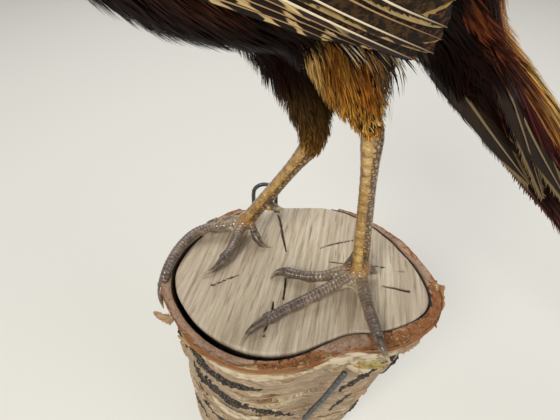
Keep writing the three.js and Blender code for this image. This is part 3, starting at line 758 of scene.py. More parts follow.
def toe_stations(line, thin, taper=0.2):
    """A toe swells over each joint and thins towards its claw."""
    radii = TOE_R * (1 - taper * np.linspace(0, 1, len(line)))
    return [(*p, r * thin, (r + 0.06 * TOE_R) * thin) for p, r in zip(line, radii)]


def nearest_on(lines, points):
    """For each point: the nearest line, how far along it in mm and as a share, and the height over it."""
    best, which, along, share, above = np.full(len(points), np.inf), *np.zeros((4, len(points)))
    for index, line in enumerate(lines):
        dense = smooth_line(line, 80)
        s = run_of(dense)
        apart = norm(points[:, None] - dense[None])
        k = apart.argmin(axis=1)
        # The nearest sample is refined along the line, so that the rings run true.
        forward = unit(dense[np.minimum(k + 1, 79)] - dense[np.maximum(k - 1, 0)])
        run = s[k] + np.einsum("ij,ij->i", points - dense[k], forward)
        closer = apart.min(axis=1) < best
        found = (apart.min(axis=1), index, run, run / s[-1], points[:, 2] - dense[k, 2])
        known = (best, which, along, share, above)
        best, which, along, share, above = (np.where(closer, new, old) for new, old in zip(found, known))
    return which, along, share, above


def apart_from(line, points):
    """How far each point is from the nearest of a line's points."""
    return norm(points[:, None] - line[None]).min(axis=1)


def round_shank(points, hock, heel, toes, outer):
    """Degrees round a shank, from where its middle toe points to its outer side, and the way out."""
    down = Vector(heel - hock).normalized()
    ahead = Vector(toes["middle"][3]) - Vector(toes["middle"][0])
    ahead = np.array((ahead - down * ahead.dot(down)).normalized())
    down = np.array(down)
    out = (points - hock - ((points - hock) @ down)[:, None] * down) / SHANK_R
    return np.degrees(np.arctan2(out @ (np.cross(ahead, down) * outer), out @ ahead)), out


def band(x, middle, spread):
    """A soft band of 1 round a middle value."""
    return np.exp(-(((x - middle) / spread) ** 2))


FLARE_WAY = np.array([-0.93, 0.37, 0])  # the side of the left shank from which its flare stands out
SHADE_WAY = np.array([-0.72, 0.69, 0])  # the side of the shanks, forward and towards the wall, that is painted darker as shade
VOXEL = 0.42
WEB = 0.8  # thickness of the skin between the toes
PLATE, RING = 4.0, 1.6  # spacing of the shank's plates and of the toes' rings
SEAM_IN, SEAM_OUT = -58, 62  # the shank's plates reach round it from the first to the second, in degrees
leg_skins = []
for name, leg in LEGS.items():
    hock, heel = np.array(leg["hock"]), np.array(leg["heel"])
    bm = limb([(*(hock + (heel - hock) * share), *size) for share, *size in SHANK], 24, 90)
    for toe, line in leg["toes"].items():
        root = heel + (np.array(line[0]) - heel) * 0.2
        thin = HIND_TOE if toe == "hind" else 1.0
        join_in(bm, limb(toe_stations([tuple(root), *line], thin), 18, 60, side=UP))
        tip, before = np.array(line[-1]), np.array(line[-2])
        bulb = [(*(tip + (tip - before) * t), r * thin) for t, r in ((-0.55, 2.0), (-0.1, 2.5), (0.16, 1.7))]
        join_in(bm, limb(bulb, 16, 20, side=UP))
    flare = leg.get("flare", [])
    if flare:
        join_in(bm, limb([(*p, r) for p, r in zip(flare, (0.7, 1.2, 1.7))], 16, 24))
    knuckle = [(*(heel + d), r) for d, r in (((0, 0, 5), 3.2), ((0, 0, 0.5), 4.3), ((0, 0, -2.6), 2.6))]
    join_in(bm, limb(knuckle, 20, 24))
    webs = []
    for beside, reach in (("outer", 0.34), ("inner", 0.30)):
        ends = [
            smooth_line(leg["toes"][toe], 60)[int(60 * share)]
            for toe, share in (("middle", reach), (beside, reach * 1.15))
        ]
        # The fold's free edge is drawn back between the toes.
        drawn = 0.62 * (ends[0] + ends[1]) / 2 + 0.38 * heel
        drawn[2] = (ends[0][2] + ends[1][2]) / 2 + 0.6
        ridge = smooth_line([ends[0], drawn, ends[1]], 13)
        for share in (0.25, 0.5, 0.75, 1.0):
            arc = [(*(np.array([*heel[:2], 86.4]) * (1 - share) + p * share), WEB, WEB) for p in ridge[::2]]
            join_in(bm, limb(arc, 10, 24, side=UP))
        webs.append(ridge)
    bm = fused(bm, VOXEL, 3)
    spots = spots_of(bm)
    toe_lines = [[tuple(heel), *line] for line in leg["toes"].values()]
    shank_line = [tuple(hock), tuple(hock + (heel - hock) * 0.5), tuple(heel)]
    which, along, share, above = nearest_on([shank_line, *toe_lines], spots)
    round_by, out = round_shank(spots, hock, heel, leg["toes"], {"left": 1, "right": -1}[name])
    on_toe = ease(-3, 2.5, (heel[2] + 1.5) - spots[:, 2]) * (which > 0)
    on_flare = np.zeros(len(spots))
    if flare:
        on_flare = ease(2.4, 1.6, apart_from(smooth_line(flare, 60), spots)) * ease(0.8, 1.1, out @ FLARE_WAY)
        on_toe = np.maximum(on_toe, on_flare * (which == 0))
    off_toe = 1 - on_toe
    top = np.clip(above / TOE_R, -1, 1)
    plates = ease(SEAM_IN - 4, SEAM_IN + 4, round_by) * ease(SEAM_OUT + 4, SEAM_OUT - 4, round_by) * off_toe
    rings = ease(-0.25, 0.25, top) * on_toe
    wobble = 0.5 * ripple(spots, 4.0, 1.0)
    plate_run = along + 1.1 * wobble + 0.005 * round_by
    ring_run = along + 0.9 * wobble + 0.35 * ripple(spots, 2.1, 7.0)
    plate_wave = np.abs(np.sin(math.pi * plate_run / PLATE)) ** 0.35
    ring_wave = np.abs(np.sin(math.pi * ring_run / RING)) ** 0.6
    pads = 0.35 * (1 - ease(-0.6, -0.1, top)) * on_toe * np.sin(2 * math.pi * along / 9.5)
    small = (1 - plates - rings).clip(0, 1) * ripple(spots, 0.9, 4.0)
    push = 0.2 * plates * (plate_wave - 0.8) + 0.34 * rings * (ring_wave - 0.7) + 0.14 * small + pads
    move_to(bm, spots + normals_of(bm) * push[:, None])
    seam = band(round_by + 7 * ripple(spots, 3.0, 5.0), SEAM_OUT + 2, 6)
    seam *= 0.6 + 0.6 * ripple(spots, 5.0, 2.0)
    # Painted highlight: a pale streak down the middle of the shank's plates, facing the light.
    lit = band(round_by, 30, 20) * ease(0.6, 0.95, plate_wave) * off_toe
    plate_line = np.maximum(0.8 * plates * (1 - plate_wave), 0.9 * seam)
    to_web = np.min([apart_from(ridge, spots) for ridge in webs], axis=0)
    to_toe = np.min([apart_from(smooth_line(line, 60), spots) for line in toe_lines], axis=0)
    number_layers(
        bm,
        toe=on_toe,
        line=np.where(on_toe > 0.5, rings * (1 - ring_wave), plate_line),
        # Painted highlight: pale crests of the toes' rings and the pale streak down the shank's plates.
        crest=rings * ease(0.55, 0.95, ring_wave) + lit,
        # Painted shade: the shank's side turned forward and towards the wall is darkened.
        dim=ease(0.15, 0.75, out @ SHADE_WAY) * off_toe,
        under=on_toe * (1 - ease(-0.75, -0.15, top)),
        joint=np.exp(-((spots - heel - (0, 0, 1.5)) ** 2).sum(axis=1) / 26) * (1 - on_flare),
        rear=(1 - plates) * off_toe,
        end=ease(0.5, 1.0, share) * on_toe,
        web=(1 - ease(3.5, 6.5, to_web)) * ease(0.85 * TOE_R, 1.15 * TOE_R, to_toe),
    )
    replaced = [f"shank_{name}", *(f"toe_{name}_{toe}" for toe in leg["toes"])]
    leg_skins.append(mesh_piece(f"leg_skin_{name}", bm, "leg_scale", *replaced))

varnish = {"Coat_Weight": 0.9, "Coat_Roughness": 0.1, "Specular_IOR_Level": 0.6}
scaly = Nodes("varnished leg skin", Roughness=0.28, **varnish)
cells = scaly.add("TexVoronoi", {"Vector": scaly.at, "Scale": 620.0}, feature="DISTANCE_TO_EDGE")
cells = cells.outputs["Distance"]
mottle = scaly.grain(260, 4)
clouds = scaly.grain(75, 3)
shank = scaly.ramp(mottle, (0.3, 0.27, 0.12, 0.02), (0.5, 0.53, 0.295, 0.06), (0.68, 0.82, 0.55, 0.16))
shank = scaly.over(shank, (clouds, (0.52, 0.7, 0, 0.45), (0.24, 0.105, 0.022)))
# Painted highlight: the shank is paled along its plates' middle streak.
shank = scaly.mix(scaly.times("crest", scaly.level(clouds, 0.36, 0.6, 0.6, 0.15)), shank, (0.92, 0.70, 0.31))
shank = scaly.mix(scaly.times("rear", scaly.level(cells, 0.34, 0.05)), shank, (0.05, 0.026, 0.014))
# Painted shade: the shanks are darkened on their side turned forward and towards the wall.
shank = scaly.over(shank, ("dim", (0, 1, 0, 0.8), (0.12, 0.042, 0.016)))
toes = scaly.ramp(mottle, (0.32, 0.055, 0.035, 0.022), (0.5, 0.15, 0.095, 0.06), (0.7, 0.33, 0.235, 0.155))
# Painted highlight: the crests of the toes' rings are paled.
toes = scaly.mix(scaly.times("crest", scaly.level(clouds, 0.42, 0.6, 0.1, 0.5)), toes, (0.42, 0.30, 0.20))
toes = scaly.over(toes, ("under", (0, 1), (0.50, 0.36, 0.17)))
toes = scaly.over(toes, ("end", (0, 1, 0, 0.65), (0.075, 0.055, 0.042)))
tone = scaly.over(
    scaly.mix("toe", shank, toes),
    ("joint", (0.2, 0.7, 0, 0.85), (0.50, 0.24, 0.055)),
    ("web", (0, 1, 0, 0.9), (0.48, 0.37, 0.24)),
    ("line", (0.3, 0.75, 0, 0.7), (0.06, 0.035, 0.02)),
    (cells, (0.0, 0.05, 0.4, 0), (0.07, 0.04, 0.02)),
)
scaly.finish(leg_skins, tone, scaly.level(cells, 0, 0.2), 0.00022)

# A bead of amber glue is left where the right foot's outer toe is fixed, and another by its spur.
glue_beads = bmesh.new()
for (x, y, z), size in (((-36.3, -19.5, 86), 1.7), ((-12.5, -29.5, 100.6), 1.2)):
    bead = [(x, y, z + dz, size * r) for dz, r in ((-1.4, 0.9), (0, 1.0), (1.4, 0.6))]
    join_in(glue_beads, limb(bead, 12, 12))
glue = mesh_piece("glue_beads", glue_beads, "leg_scale")
amber = Nodes("amber glue", Roughness=0.18, Coat_Weight=0.5)
amber.finish(glue, amber.ramp(amber.grain(600, 2), (0.35, 0.42, 0.17, 0.02), (0.65, 0.66, 0.36, 0.07)))

# ---------------------------------------------------------------- claws and spurs
# Horn: grey-brown at the root and yellowish at the worn tip, curved down from the end of each toe.
CLAW_R = 1.9
horn_pieces = []


def horn_limb(stations, rows, root, tip):
    """A limb that knows how far each of its points is on the way to the tip."""
    bm = limb(stations, 18, rows, side=UP)
    number_layers(bm, tip=norm(spots_of(bm) - root) / norm(tip - root))
    return bm


for name, leg in LEGS.items():
    for toe, line in leg["toes"].items():
        before, root, tip = np.array(line[-2]), np.array(line[-1]), np.array(leg["claws"][toe])
        ahead = unit(root - before)
        chord = tip - root
        length = norm(chord)
        bulge = ahead - (ahead @ chord) * chord / length**2
        crown = root + 0.5 * chord + 0.3 * length * bulge
        bent_one, bent_two = 0.06 * length * bulge, 0.05 * length * bulge
        stations = [
            (*(root - 3.0 * ahead), CLAW_R * 0.9), (*(root - 1.0 * ahead), CLAW_R * 1.1),
            (*root, CLAW_R * 1.12, CLAW_R),
            (*(0.55 * root + 0.45 * crown + bent_one), CLAW_R * 0.98, CLAW_R * 0.85),
            (*crown, CLAW_R * 0.75, CLAW_R * 0.55),
            (*(0.45 * crown + 0.55 * tip + bent_two), 0.75, 0.6), (*tip, 0.2),
        ]
        bm = horn_limb(stations, 40, root, tip)
        horn_pieces.append(mesh_piece(f"claw_{name}_{toe}_horn", bm, "horn", f"claw_{name}_{toe}"))
    hock, spur = np.array(leg["hock"]), np.array(leg["spur"])
    root = hock + (np.array(leg["heel"]) - hock) * HEEL_DROP
    stations = [(*(root + share * spur), r) for share, r in ((0.1, 2.9), (0.4, 2.2), (0.75, 1.3))]
    bm = horn_limb([*stations, (*(root + spur + (0, 0, 0.8)), 0.3)], 30, root, root + spur)
    horn_pieces.append(mesh_piece(f"spur_{name}_horn", bm, "horn", f"spur_{name}"))
horn = Nodes("horn", Roughness=0.3, Coat_Weight=0.3, Coat_Roughness=0.15)
layers = horn.grain(420, 3, horn.stretched((1, 1, 2.2)))
tone = horn.ramp(layers, (0.32, 0.055, 0.038, 0.026), (0.52, 0.13, 0.092, 0.062), (0.72, 0.30, 0.225, 0.15))
worn = horn.ramp(layers, (0.35, 0.28, 0.20, 0.10), (0.65, 0.62, 0.50, 0.30))
horn.finish(horn_pieces, horn.over(tone, ("tip", (0.55, 0.95), worn)), layers, 0.00012)

# ---------------------------------------------------------------- the skin
# One tanned skin over the form, from the face to the root of the tail, with the thighs and the arms of
# the wings. It lies inside the plumage by the plumage's own depth, and it has the plumage's colours.
FLESH = [
    "head", "neck_upper", "neck_lower", "trunk", "rump", "tail_coverts", "thigh_left", "thigh_right",
    "wing_left_coverts", "wing_right_coverts",
]
BODY_Y = -54.0
SPINE = [  # x and z, from the end of the tail coverts to the top of the neck
    (141, 85), (94, 130), (71, 152), (54, 172), (46, 181), (33, 193.5), (14, 208), (-12, 225.5), (-42, 248.5),
    (-75, 275), (-104, 302), (-122, 327), (-131, 353), (-135, 376), (-137, 397), (-141, 418),
]
SPINE_LINE = smooth_line([(x, BODY_Y, z) for x, z in SPINE], 240)
SPINE_ALONG, SPINE_TANGENT, _, _ = frames_of(SPINE_LINE, (0, 1, 0))
SPINE_LENGTH = SPINE_ALONG[-1]
HEAD_AT = np.array([-144.0, BODY_Y - 3, 417.0])
HEAD_TURN = math.radians(12)
HEAD_TO_BODY = np.array(Matrix.Rotation(HEAD_TURN, 3, "Z"))
SIDES = (("left", -1), ("right", 1))  # the bird's left side is towards the room


def cad_shape(*names):
    """The surface of some CAD nodes, in millimetres."""
    bm = bmesh.new()
    for name in names:
        bm.from_mesh(nodes[name].data)
    bmesh.ops.remove_doubles(bm, verts=bm.verts, dist=1e-6)
    bmesh.ops.scale(bm, verts=bm.verts, vec=(1 / MM,) * 3)
    bm.normal_update()
    return bm


def on_spine(points):
    """For each point: mm along the spine from the tail, the angle from the back, and the way to the tail."""
    nearest = np.zeros(len(points), int)
    for start in range(0, len(points), 20000):
        part = slice(start, start + 20000)
        nearest[part] = ((points[part, None] - SPINE_LINE[None]) ** 2).sum(axis=2).argmin(axis=1)
    tailward = -SPINE_TANGENT[nearest]
    back = stack(tailward[:, 2], 0, -tailward[:, 0])
    back *= np.where(back[:, 2:] < 0, -1, 1)
    away = points - SPINE_LINE[nearest]
    return SPINE_ALONG[nearest], np.arctan2(away[:, 1], (away * back).sum(axis=1)), tailward


COAT_BY_HEIGHT = [76, 148, 165, 190, 215, 300, 350, 395, 440], [0.6, 0.6, 1.6, 3.0, 3.4, 3.2, 2.2, 1.1, 0.8]
COAT_ON_TAIL = [50, 72], [3.4, 1.0]  # in x, past the rump


def coat_depth(points):
    """How thick the plumage is: least on the hocks and the face, most on the trunk and rump."""
    x, _, z = points.T
    return np.where(x > 48, np.interp(x, *COAT_ON_TAIL), np.interp(z, *COAT_BY_HEIGHT))


SKIN_VOXEL = 2.1
TOUCH = 0.35  # closes the thin partings between the nodes
bm = cad_shape(*FLESH)
for vert, normal in [(v, v.normal.copy()) for v in bm.verts]:
    vert.co += normal * TOUCH
bm = fused(bm, SKIN_VOXEL, 5)
spots = spots_of(bm)
move_to(bm, spots - normals_of(bm) * (coat_depth(spots) + TOUCH)[:, None])
bmesh.ops.triangulate(bm, faces=bm.faces)
bm.normal_update()
skin_tree = BVHTree.FromBMesh(bm)
skin_spots = spots_of(bm)
skin_faces = np.array([[v.index for v in f.verts] for f in bm.faces])


def nearest_skin(points):
    """The nearest places on the skin, and the way out of it there."""
    found = [skin_tree.find_nearest(p)[:2] for p in points.tolist()]
    return np.array([f[0][:] for f in found]), np.array([f[1][:] for f in found])


def blend(low, high, share):
    return low + (high - low) * np.asarray(share)[..., None]


# Colours of the plumage, as linear light.
NIGHT = np.array([0.006, 0.004, 0.004])
WARM_BLACK = np.array([0.011, 0.0036, 0.0025])
MAROON = np.array([0.045, 0.010, 0.008])
COPPER = np.array([0.26, 0.075, 0.018])
GOLD = np.array([0.46, 0.235, 0.055])
EARTH = np.array([0.055, 0.034, 0.020])
BOTTLE = np.array([0.004, 0.035, 0.024])
INK = np.array([0.008, 0.012, 0.045])
CREAM = np.array([0.66, 0.54, 0.36])


def plumage(points):
    """The plumage's main colour at each point: the same for skin and coat."""
    along, angle, _ = on_spine(points)
    share = along / SPINE_LENGTH
    round_by = np.abs(np.degrees(angle)) + 9 * ripple(points, 16, 2.0)
    rear = ease(0.50, 0.34, share)
    patches = ripple(points, 11, 6.0)
    colour = blend(COPPER, GOLD, ease(-0.4, 0.6, patches) * 0.45)
    colour = blend(colour, MAROON, ease(0.50, 0.68, share) * 0.75)
    under = blend(MAROON * 0.6, WARM_BLACK, ease(0.62, 0.42, share))
    colour = blend(colour, under, ease(112, 150, round_by))
    saddle = blend(MAROON * 2.4, GOLD * 0.85, ease(0.1, 0.7, patches + 0.1))
    colour = blend(colour, saddle, (1 - ease(48, 80, round_by)) * rear)
    colour = blend(colour, WARM_BLACK, ease(0.50, 0.42, share) * ease(72, 96, round_by))
    green = blend(INK, BOTTLE, ease(0.80, 0.90, share + 0.02 * patches))
    colour = blend(colour, green, ease(0.755, 0.775, share))
    collar = ease(0.016, 0.011, np.abs(share - 0.775 + 0.003 * patches))
    return blend(colour, CREAM * 1.25, collar * ease(22, 36, round_by) * ease(160, 145, round_by))


tint = bm.verts.layers.float_color.new("tint")
for vert, colour in zip(bm.verts, (plumage(skin_spots) * 0.6).tolist()):
    vert[tint] = (*colour, 1)
bird_skin = mesh_piece("bird_skin", bm, "plumage_copper", *FLESH)
hide = Nodes("feathered skin", Roughness=0.85)
down_grain = hide.grain(700, 3)
tone = hide.over(hide.attribute("tint", "Color"), (down_grain, (0.35, 0.65, 0, 0.6), (0.004, 0.003, 0.003)))
hide.finish(bird_skin, tone, down_grain, 0.0004)

# ---------------------------------------------------------------- feathers
# A body feather is a cupped vane that lies along the skin and rises over the roots behind it. Hair-like
# plumes are narrow strips that hang together in tufts. All of them are laid by tracing the skin from
# their roots.
rng = np.random.default_rng(41)
face_corners = skin_spots[skin_faces]
face_centres = face_corners.mean(axis=1)
face_cross = np.cross(face_corners[:, 1] - face_corners[:, 0], face_corners[:, 2] - face_corners[:, 0])
face_areas = 0.5 * norm(face_cross)
face_out = unit(face_cross)
face_share, face_angle, _ = on_spine(face_centres)
face_share = face_share / SPINE_LENGTH
face_angle = np.degrees(np.abs(face_angle))


def cad_tree(*names):
    """The surface of some CAD nodes, to be hit or sought."""
    return BVHTree.FromBMesh(cad_shape(*names))


node_trees = [cad_tree(name) for name in FLESH]
apart = [[tree.find_nearest(p)[3] or 0 for tree in node_trees] for p in face_centres.tolist()]
face_node = np.array(FLESH)[np.argmin(apart, axis=1)]


def hidden_by(names, reach):
    """True for the faces of the skin that other nodes cover within a reach."""
    tree = cad_tree(*names)
    rays = zip(face_centres.tolist(), face_out.tolist())
    return np.array([tree.ray_cast(place, way, reach)[0] is not None for place, way in rays])


under_wing = hidden_by(("wing_left_quills", "wing_right_quills"), 14)
under_tail = hidden_by(("tail_centre", "tail_left", "tail_right"), 6)
bare_face = hidden_by(("wattle_left", "wattle_right", "eye_left", "eye_right", "bill_upper", "bill_lower"), 4)


def scatter(spacing, where, tries=5):
    """Roots spread evenly over the chosen faces of the skin."""
    areas = face_areas * where
    count = int(tries * areas.sum() / spacing**2)
    faces = rng.choice(len(areas), size=count, p=areas / areas.sum())
    a, b = np.sqrt(rng.random(count)), rng.random(count)
    c = face_corners[faces]
    points = c[:, 0] * (1 - a)[:, None] + c[:, 1] * (a * (1 - b))[:, None] + c[:, 2] * (a * b)[:, None]
    cells = {}
    kept = []
    steps = [(i, j, k) for i in (-1, 0, 1) for j in (-1, 0, 1) for k in (-1, 0, 1)]
    for index, (p, cell) in enumerate(zip(points.tolist(), np.floor(points / spacing).astype(int).tolist())):
        near = (q for i, j, k in steps for q in cells.get((cell[0] + i, cell[1] + j, cell[2] + k), ()))
        if all((p[0] - q[0]) ** 2 + (p[1] - q[1]) ** 2 + (p[2] - q[2]) ** 2 > spacing**2 for q in near):
            cells.setdefault(tuple(cell), []).append(p)
            kept.append(index)
    return points[kept]


THIGHS = {  # from the body down to the hock
    "left": [
        (0, -66, 210), (5, -65, 196), (10, -63, 181), (14, -61.5, 170), (18.8, -58.5, 158), (22.8, -57, 146),
    ],
    "right": [
        (-18, -44, 204), (-11, -43, 186), (-3.6, -41, 171), (3, -38, 154.5), (5.2, -37, 141.5),
        (2.2, -35.6, 130),
    ],
}
THIGH_LINES = {name: smooth_line(line, 60) for name, line in THIGHS.items()}


def by_thigh(points, name):
    """How far each point is from a thigh's line, how far down it, and the way down there."""
    line = THIGH_LINES[name]
    apart = norm(points[:, None] - line[None])
    k = apart.argmin(axis=1)
    return apart.min(axis=1), k / (len(line) - 1), unit(np.gradient(line, axis=0))[k]


def lie(points):
    """The way the feathers lie: towards the tail along the body, back over the head, and down the thighs."""
    _, _, way = on_spine(points)
    local = (points - HEAD_AT) @ HEAD_TO_BODY
    backward = HEAD_TO_BODY @ np.array([1.0, 0, -0.12])
    on_head = ease(398, 410, points[:, 2]) * ease(20, 8, local[:, 0])
    way = unit(blend(way, np.broadcast_to(backward, way.shape), on_head))
    for name in THIGHS:
        apart, down, tangent = by_thigh(points, name)
        share = ease(26, 18, apart) * ease(0.12, 0.35, down)
        way = unit(blend(way, tangent, share))
    return way


def trace(roots, length, steps, rise, sag=0.0, stray=0.12, start=0.1):
    """Lines that run over the skin from their roots. They rise off it, sag, and stray a little."""
    count = len(roots)
    step_length = (np.zeros(count) + length)[:, None] / steps
    at, normals = nearest_skin(roots)
    way = unit(lie(at) + stray * rng.normal(size=(count, 3)))
    lines, tops, beyond = [at + normals * (start - 0.6)], [normals], np.zeros((count, 1), bool)
    for step in range(1, steps + 1):
        along = way - (way * normals).sum(axis=1)[:, None] * normals
        way = np.where(beyond, lie(at), unit(unit(along) + 0.25 * lie(at) + [0, 0, -sag]))
        at = at + way * step_length
        on_skin, found = nearest_skin(at)
        beyond = (found * normals).sum(axis=1)[:, None] < 0.5  # past an edge of the skin they run straight on
        normals = np.where(beyond, normals, found)
        height = (np.zeros(count) + np.maximum(start + rise * step / steps, 0))[:, None]
        sunk = ((at - on_skin) * normals).sum(axis=1)[:, None] < height
        at = np.where(sunk & ~beyond, on_skin + normals * height, at)
        lines.append(at)
        tops.append(unit(tops[-1] + normals))
    return np.stack(lines, axis=1), np.stack(tops, axis=1)


def body_unwrap(roots):
    """A flat place for each root: round the spine, and along it."""
    along, angle, _ = on_spine(roots)
    return stack(0.5 + angle / (2 * math.pi), along / SPINE_LENGTH) * 0.99 + 0.005


WALL_GAP, PRESS = 0.4, 1.8


class Coat:
    """Gathers many vanes into one piece, with each one's own map, place on the skin's map, and colours."""

    PATCH = 0.003

    def __init__(self):
        self.points, self.faces, self.vane, self.bake, self.tint, self.pick = [], [], [], [], [], []
        self.count = 0

    def lay(
        self, lines, tops, half, profile, at, tint, tip=None, columns=4, camber=0.2, fringe=0, skew=0,
        flip=False,
    ):
        """Vanes along lines. `half` is each one's half width, `profile` its share of that along the vane."""
        number, rows = lines.shape[:2]
        t, x = np.linspace(0, 1, rows), np.linspace(-1, 1, columns + 1)
        tangent = unit(np.gradient(lines, axis=1))
        side = unit(np.cross(tops, tangent))
        half = np.broadcast_to(half, (number,))
        width = (half[:, None] * profile(t))[:, :, None]
        out = side[:, :, None] * (width * (x + skew))[..., None]
        dip = tops[:, :, None] * (-camber * width * (x + skew) ** 2)[..., None]
        points = lines[:, :, None] + out + dip
        pick = rng.random(number)
        size = rows * (columns + 1)
        grid = np.arange(size).reshape(rows, columns + 1)
        quads = stack(grid[:-1, :-1], grid[:-1, 1:], grid[1:, 1:], grid[1:, :-1]).reshape(-1, 4)
        across = (-x if flip else x) * 0.5 + 0.5
        vane_u, vane_v = (part.reshape(-1) for part in np.broadcast_arrays(across, t[:, None]))
        flat = points.reshape(number, size, 3)
        barbs, extra, us, vs = [], [], [], []
        # Loose barbs: thin triangles that stand out of both edges, and slant towards the tip.
        for edge, sign in ((0, -1), (columns, 1)) if fringe else ():
            for row in range(rows // 2 - 1, rows - 1):
                reach = half * fringe * (0.5 + rng.random(number))
                slant = side[:, row] * sign * 0.45 + tangent[:, row] - tops[:, row] * 0.1
                extra.append((points[:, row, edge] + points[:, row + 1, edge]) / 2 + slant * reach[:, None])
                barbs.append([grid[row, edge], size + len(extra) - 1, grid[row + 1, edge]][::sign])
                us.append(across[edge])
                vs.append((t[row] + t[row + 1]) / 2)
        if fringe:
            flat = np.concatenate([flat, np.stack(extra, axis=1)], axis=1)
        vane = stack(np.append(vane_u, us), np.append(vane_v, vs))
        first = self.count + np.arange(number)[:, None, None] * flat.shape[1]
        for corners in (quads, np.array(barbs, int).reshape(-1, 3)):
            self.faces += (first + corners).reshape(-1, corners.shape[1]).tolist()
        self.points.append(flat.reshape(-1, 3))
        self.vane.append(np.tile(vane, (number, 1)))
        if at.ndim == 2:
            spot = at[:, None] + (vane - 0.5) * self.PATCH
        else:
            spot = at[:, :1] + vane * (at[:, 1:] - at[:, :1])
        self.bake.append(np.clip(spot, 0.0005, 0.9995).reshape(-1, 2))
        tint = np.broadcast_to(tint, (number, 3))[:, None]
        tip = tint if tip is None else np.broadcast_to(tip, (number, 3))[:, None]
        self.tint.append((tint + (tip - tint) * ease(0.35, 0.95, vane[:, 1:])).reshape(-1, 3))
        self.pick.append(np.repeat(pick, flat.shape[1]))
        self.count += number * flat.shape[1]

    def piece(self, name, slot, *replaced):
        points = np.concatenate(self.points)
        # Against the wall they are pressed flat, in the same order.
        points[:, 1] = -WALL_GAP - PRESS * np.logaddexp(0, (-WALL_GAP - points[:, 1]) / PRESS)
        mesh = bpy.data.meshes.new(name)
        mesh.from_pydata(points * MM, [], self.faces)
        corner = np.zeros(len(mesh.loops), np.int32)
        mesh.loops.foreach_get("vertex_index", corner)
        for map_name, values in (("OFBake", self.bake), ("vane", self.vane)):
            layer = mesh.uv_layers.new(name=map_name)
            layer.data.foreach_set("uv", np.concatenate(values)[corner].astype(np.float32).ravel())
        tint = mesh.attributes.new("tint", "FLOAT_COLOR", "POINT")
        colours = np.column_stack([np.concatenate(self.tint), np.ones(len(points))])
        tint.data.foreach_set("color", colours.astype(np.float32).ravel())
        pick = mesh.attributes.new("pick", "FLOAT", "POINT")
        pick.data.foreach_set("value", np.concatenate(self.pick).astype(np.float32))
        return finished(name, mesh, replaced)


def rounded(t):
    """A body feather: narrow at the root, widest past the middle, round at the tip."""
    return np.sqrt(np.clip(t, 0, 1)) * np.sqrt(np.clip(1 - t**5, 0, 1)) + 0.08


def pointed(t):
    """A plume: it narrows from its root to a fine tip."""
    return (0.45 + 0.9 * t) * (1 - t) ** 0.55 + 0.02


def tufts(coat, lines, tops, count, spread, half, tint, tip, at):
    """Each traced line becomes a tuft of `count` hair-like strips that part towards their tips."""
    number, rows = lines.shape[:2]
    t = np.linspace(0, 1, rows)[None, :, None]
    side = unit(np.cross(tops, np.gradient(lines, axis=1)))
    root = lines[:, :1]
    for _ in range(count):
        aside = spread * rng.normal(size=(number, 1, 1))
        up = 0.35 * spread * rng.random((number, 1, 1))
        shorter = 1 - 0.35 * rng.random((number, 1, 1))
        strand = root + (lines - root) * shorter + side * aside * (0.35 + t) + tops * up * t
        shade = 0.45 + 1.1 * rng.random((number, 1)) ** 1.3
        wide = half * (0.7 + 0.6 * rng.random(number))
        coat.lay(strand, tops, wide, pointed, at, tint * shade, tip * shade, 1, 0.25)


def vane_map(look):
    """How far across and how far along its vane each place is."""
    split = look.add("SeparateXYZ", {"Vector": look.add("UVMap", uv_map="vane").outputs["UV"]})
    return split.outputs["X"], split.outputs["Y"]


def barb_grain(look, u, v, shaft=0.5, fineness=46.0):
    """How far from the shaft each place is, and fine barbs that slant from the shaft to the vane's edge."""
    from_shaft = look.math("ABSOLUTE", look.minus(u, shaft))
    slanted = look.times(look.minus(v, look.times(from_shaft, 0.45)), fineness)
    place = look.add("CombineXYZ", {"X": slanted, "Y": from_shaft, "Z": look.times("pick", 37.0)})
    return from_shaft, look.grain(1.0, 3, place.outputs["Vector"], 0.6)


def feathered(name, piece, roughness=0.55, dark=0.45, edge=None, inner=None, gloss=None):
    """A plumage material: the vane's own tint, streaked by its barbs, with a band at its edge or a middle."""
    sheen = {"Sheen_Weight": 0.12, "Sheen_Roughness": 0.35, "Sheen_Tint": gloss} if gloss else {}
    look = Nodes(name, Roughness=roughness, Specular_IOR_Level=0.2, **sheen)
    u, v = vane_map(look)
    from_shaft, grain = barb_grain(look, u, v)
    tone = look.over(
        look.attribute("tint", "Color"),
        (grain, (0.36, 0.66, dark, 0), (0.003, 0.002, 0.002)),
        ("pick", (0, 1, 0.3, 0), (0.002, 0.0015, 0.001)),
    )
    ragged = look.plus(v, look.times(look.math("POWER", from_shaft, 2.0), 1.3), look.times(grain, 0.14))
    if inner:
        colour, start = inner
        tone = look.over(tone, (ragged, (start - 0.12, start, 1, 0), colour))
    if edge:
        colour, start = edge
        tone = look.over(tone, (ragged, (start, start + 0.07), colour))
    look.finish(piece, tone, grain, 0.00025)


def hairy(name, piece, roughness=0.5):
    """The material of hair-like plumes: each strand's own tint, paler and darker along it."""
    look = Nodes(name, Roughness=roughness, Specular_IOR_Level=0.05)
    u, v = vane_map(look)
    place = look.add("CombineXYZ", {"X": look.times(v, 3.0), "Y": u, "Z": look.times("pick", 53.0)})
    streak = look.grain(1.0, 2, place.outputs["Vector"])
    tint = look.attribute("tint", "Color")
    look.finish(piece, look.over(tint, (streak, (0.35, 0.6, 0.6, 0), (0.006, 0.003, 0.002))))


# ---------------------------------------------------------------- breast, belly and flanks
# Copper-maroon feathers with black edges cover the breast. The belly is sleek and black-brown, with finer
# plumes.
BODY = np.isin(face_node, ["trunk", "neck_lower", "rump"])
BACK_TO = 84  # degrees from the middle of the back
to_thigh = np.minimum(by_thigh(face_centres, "left")[0], by_thigh(face_centres, "right")[0])
near_thigh = to_thigh < 19
below_neck = face_share < 0.75
below = BODY & below_neck & (face_angle > BACK_TO) & ~under_wing & ~near_thigh


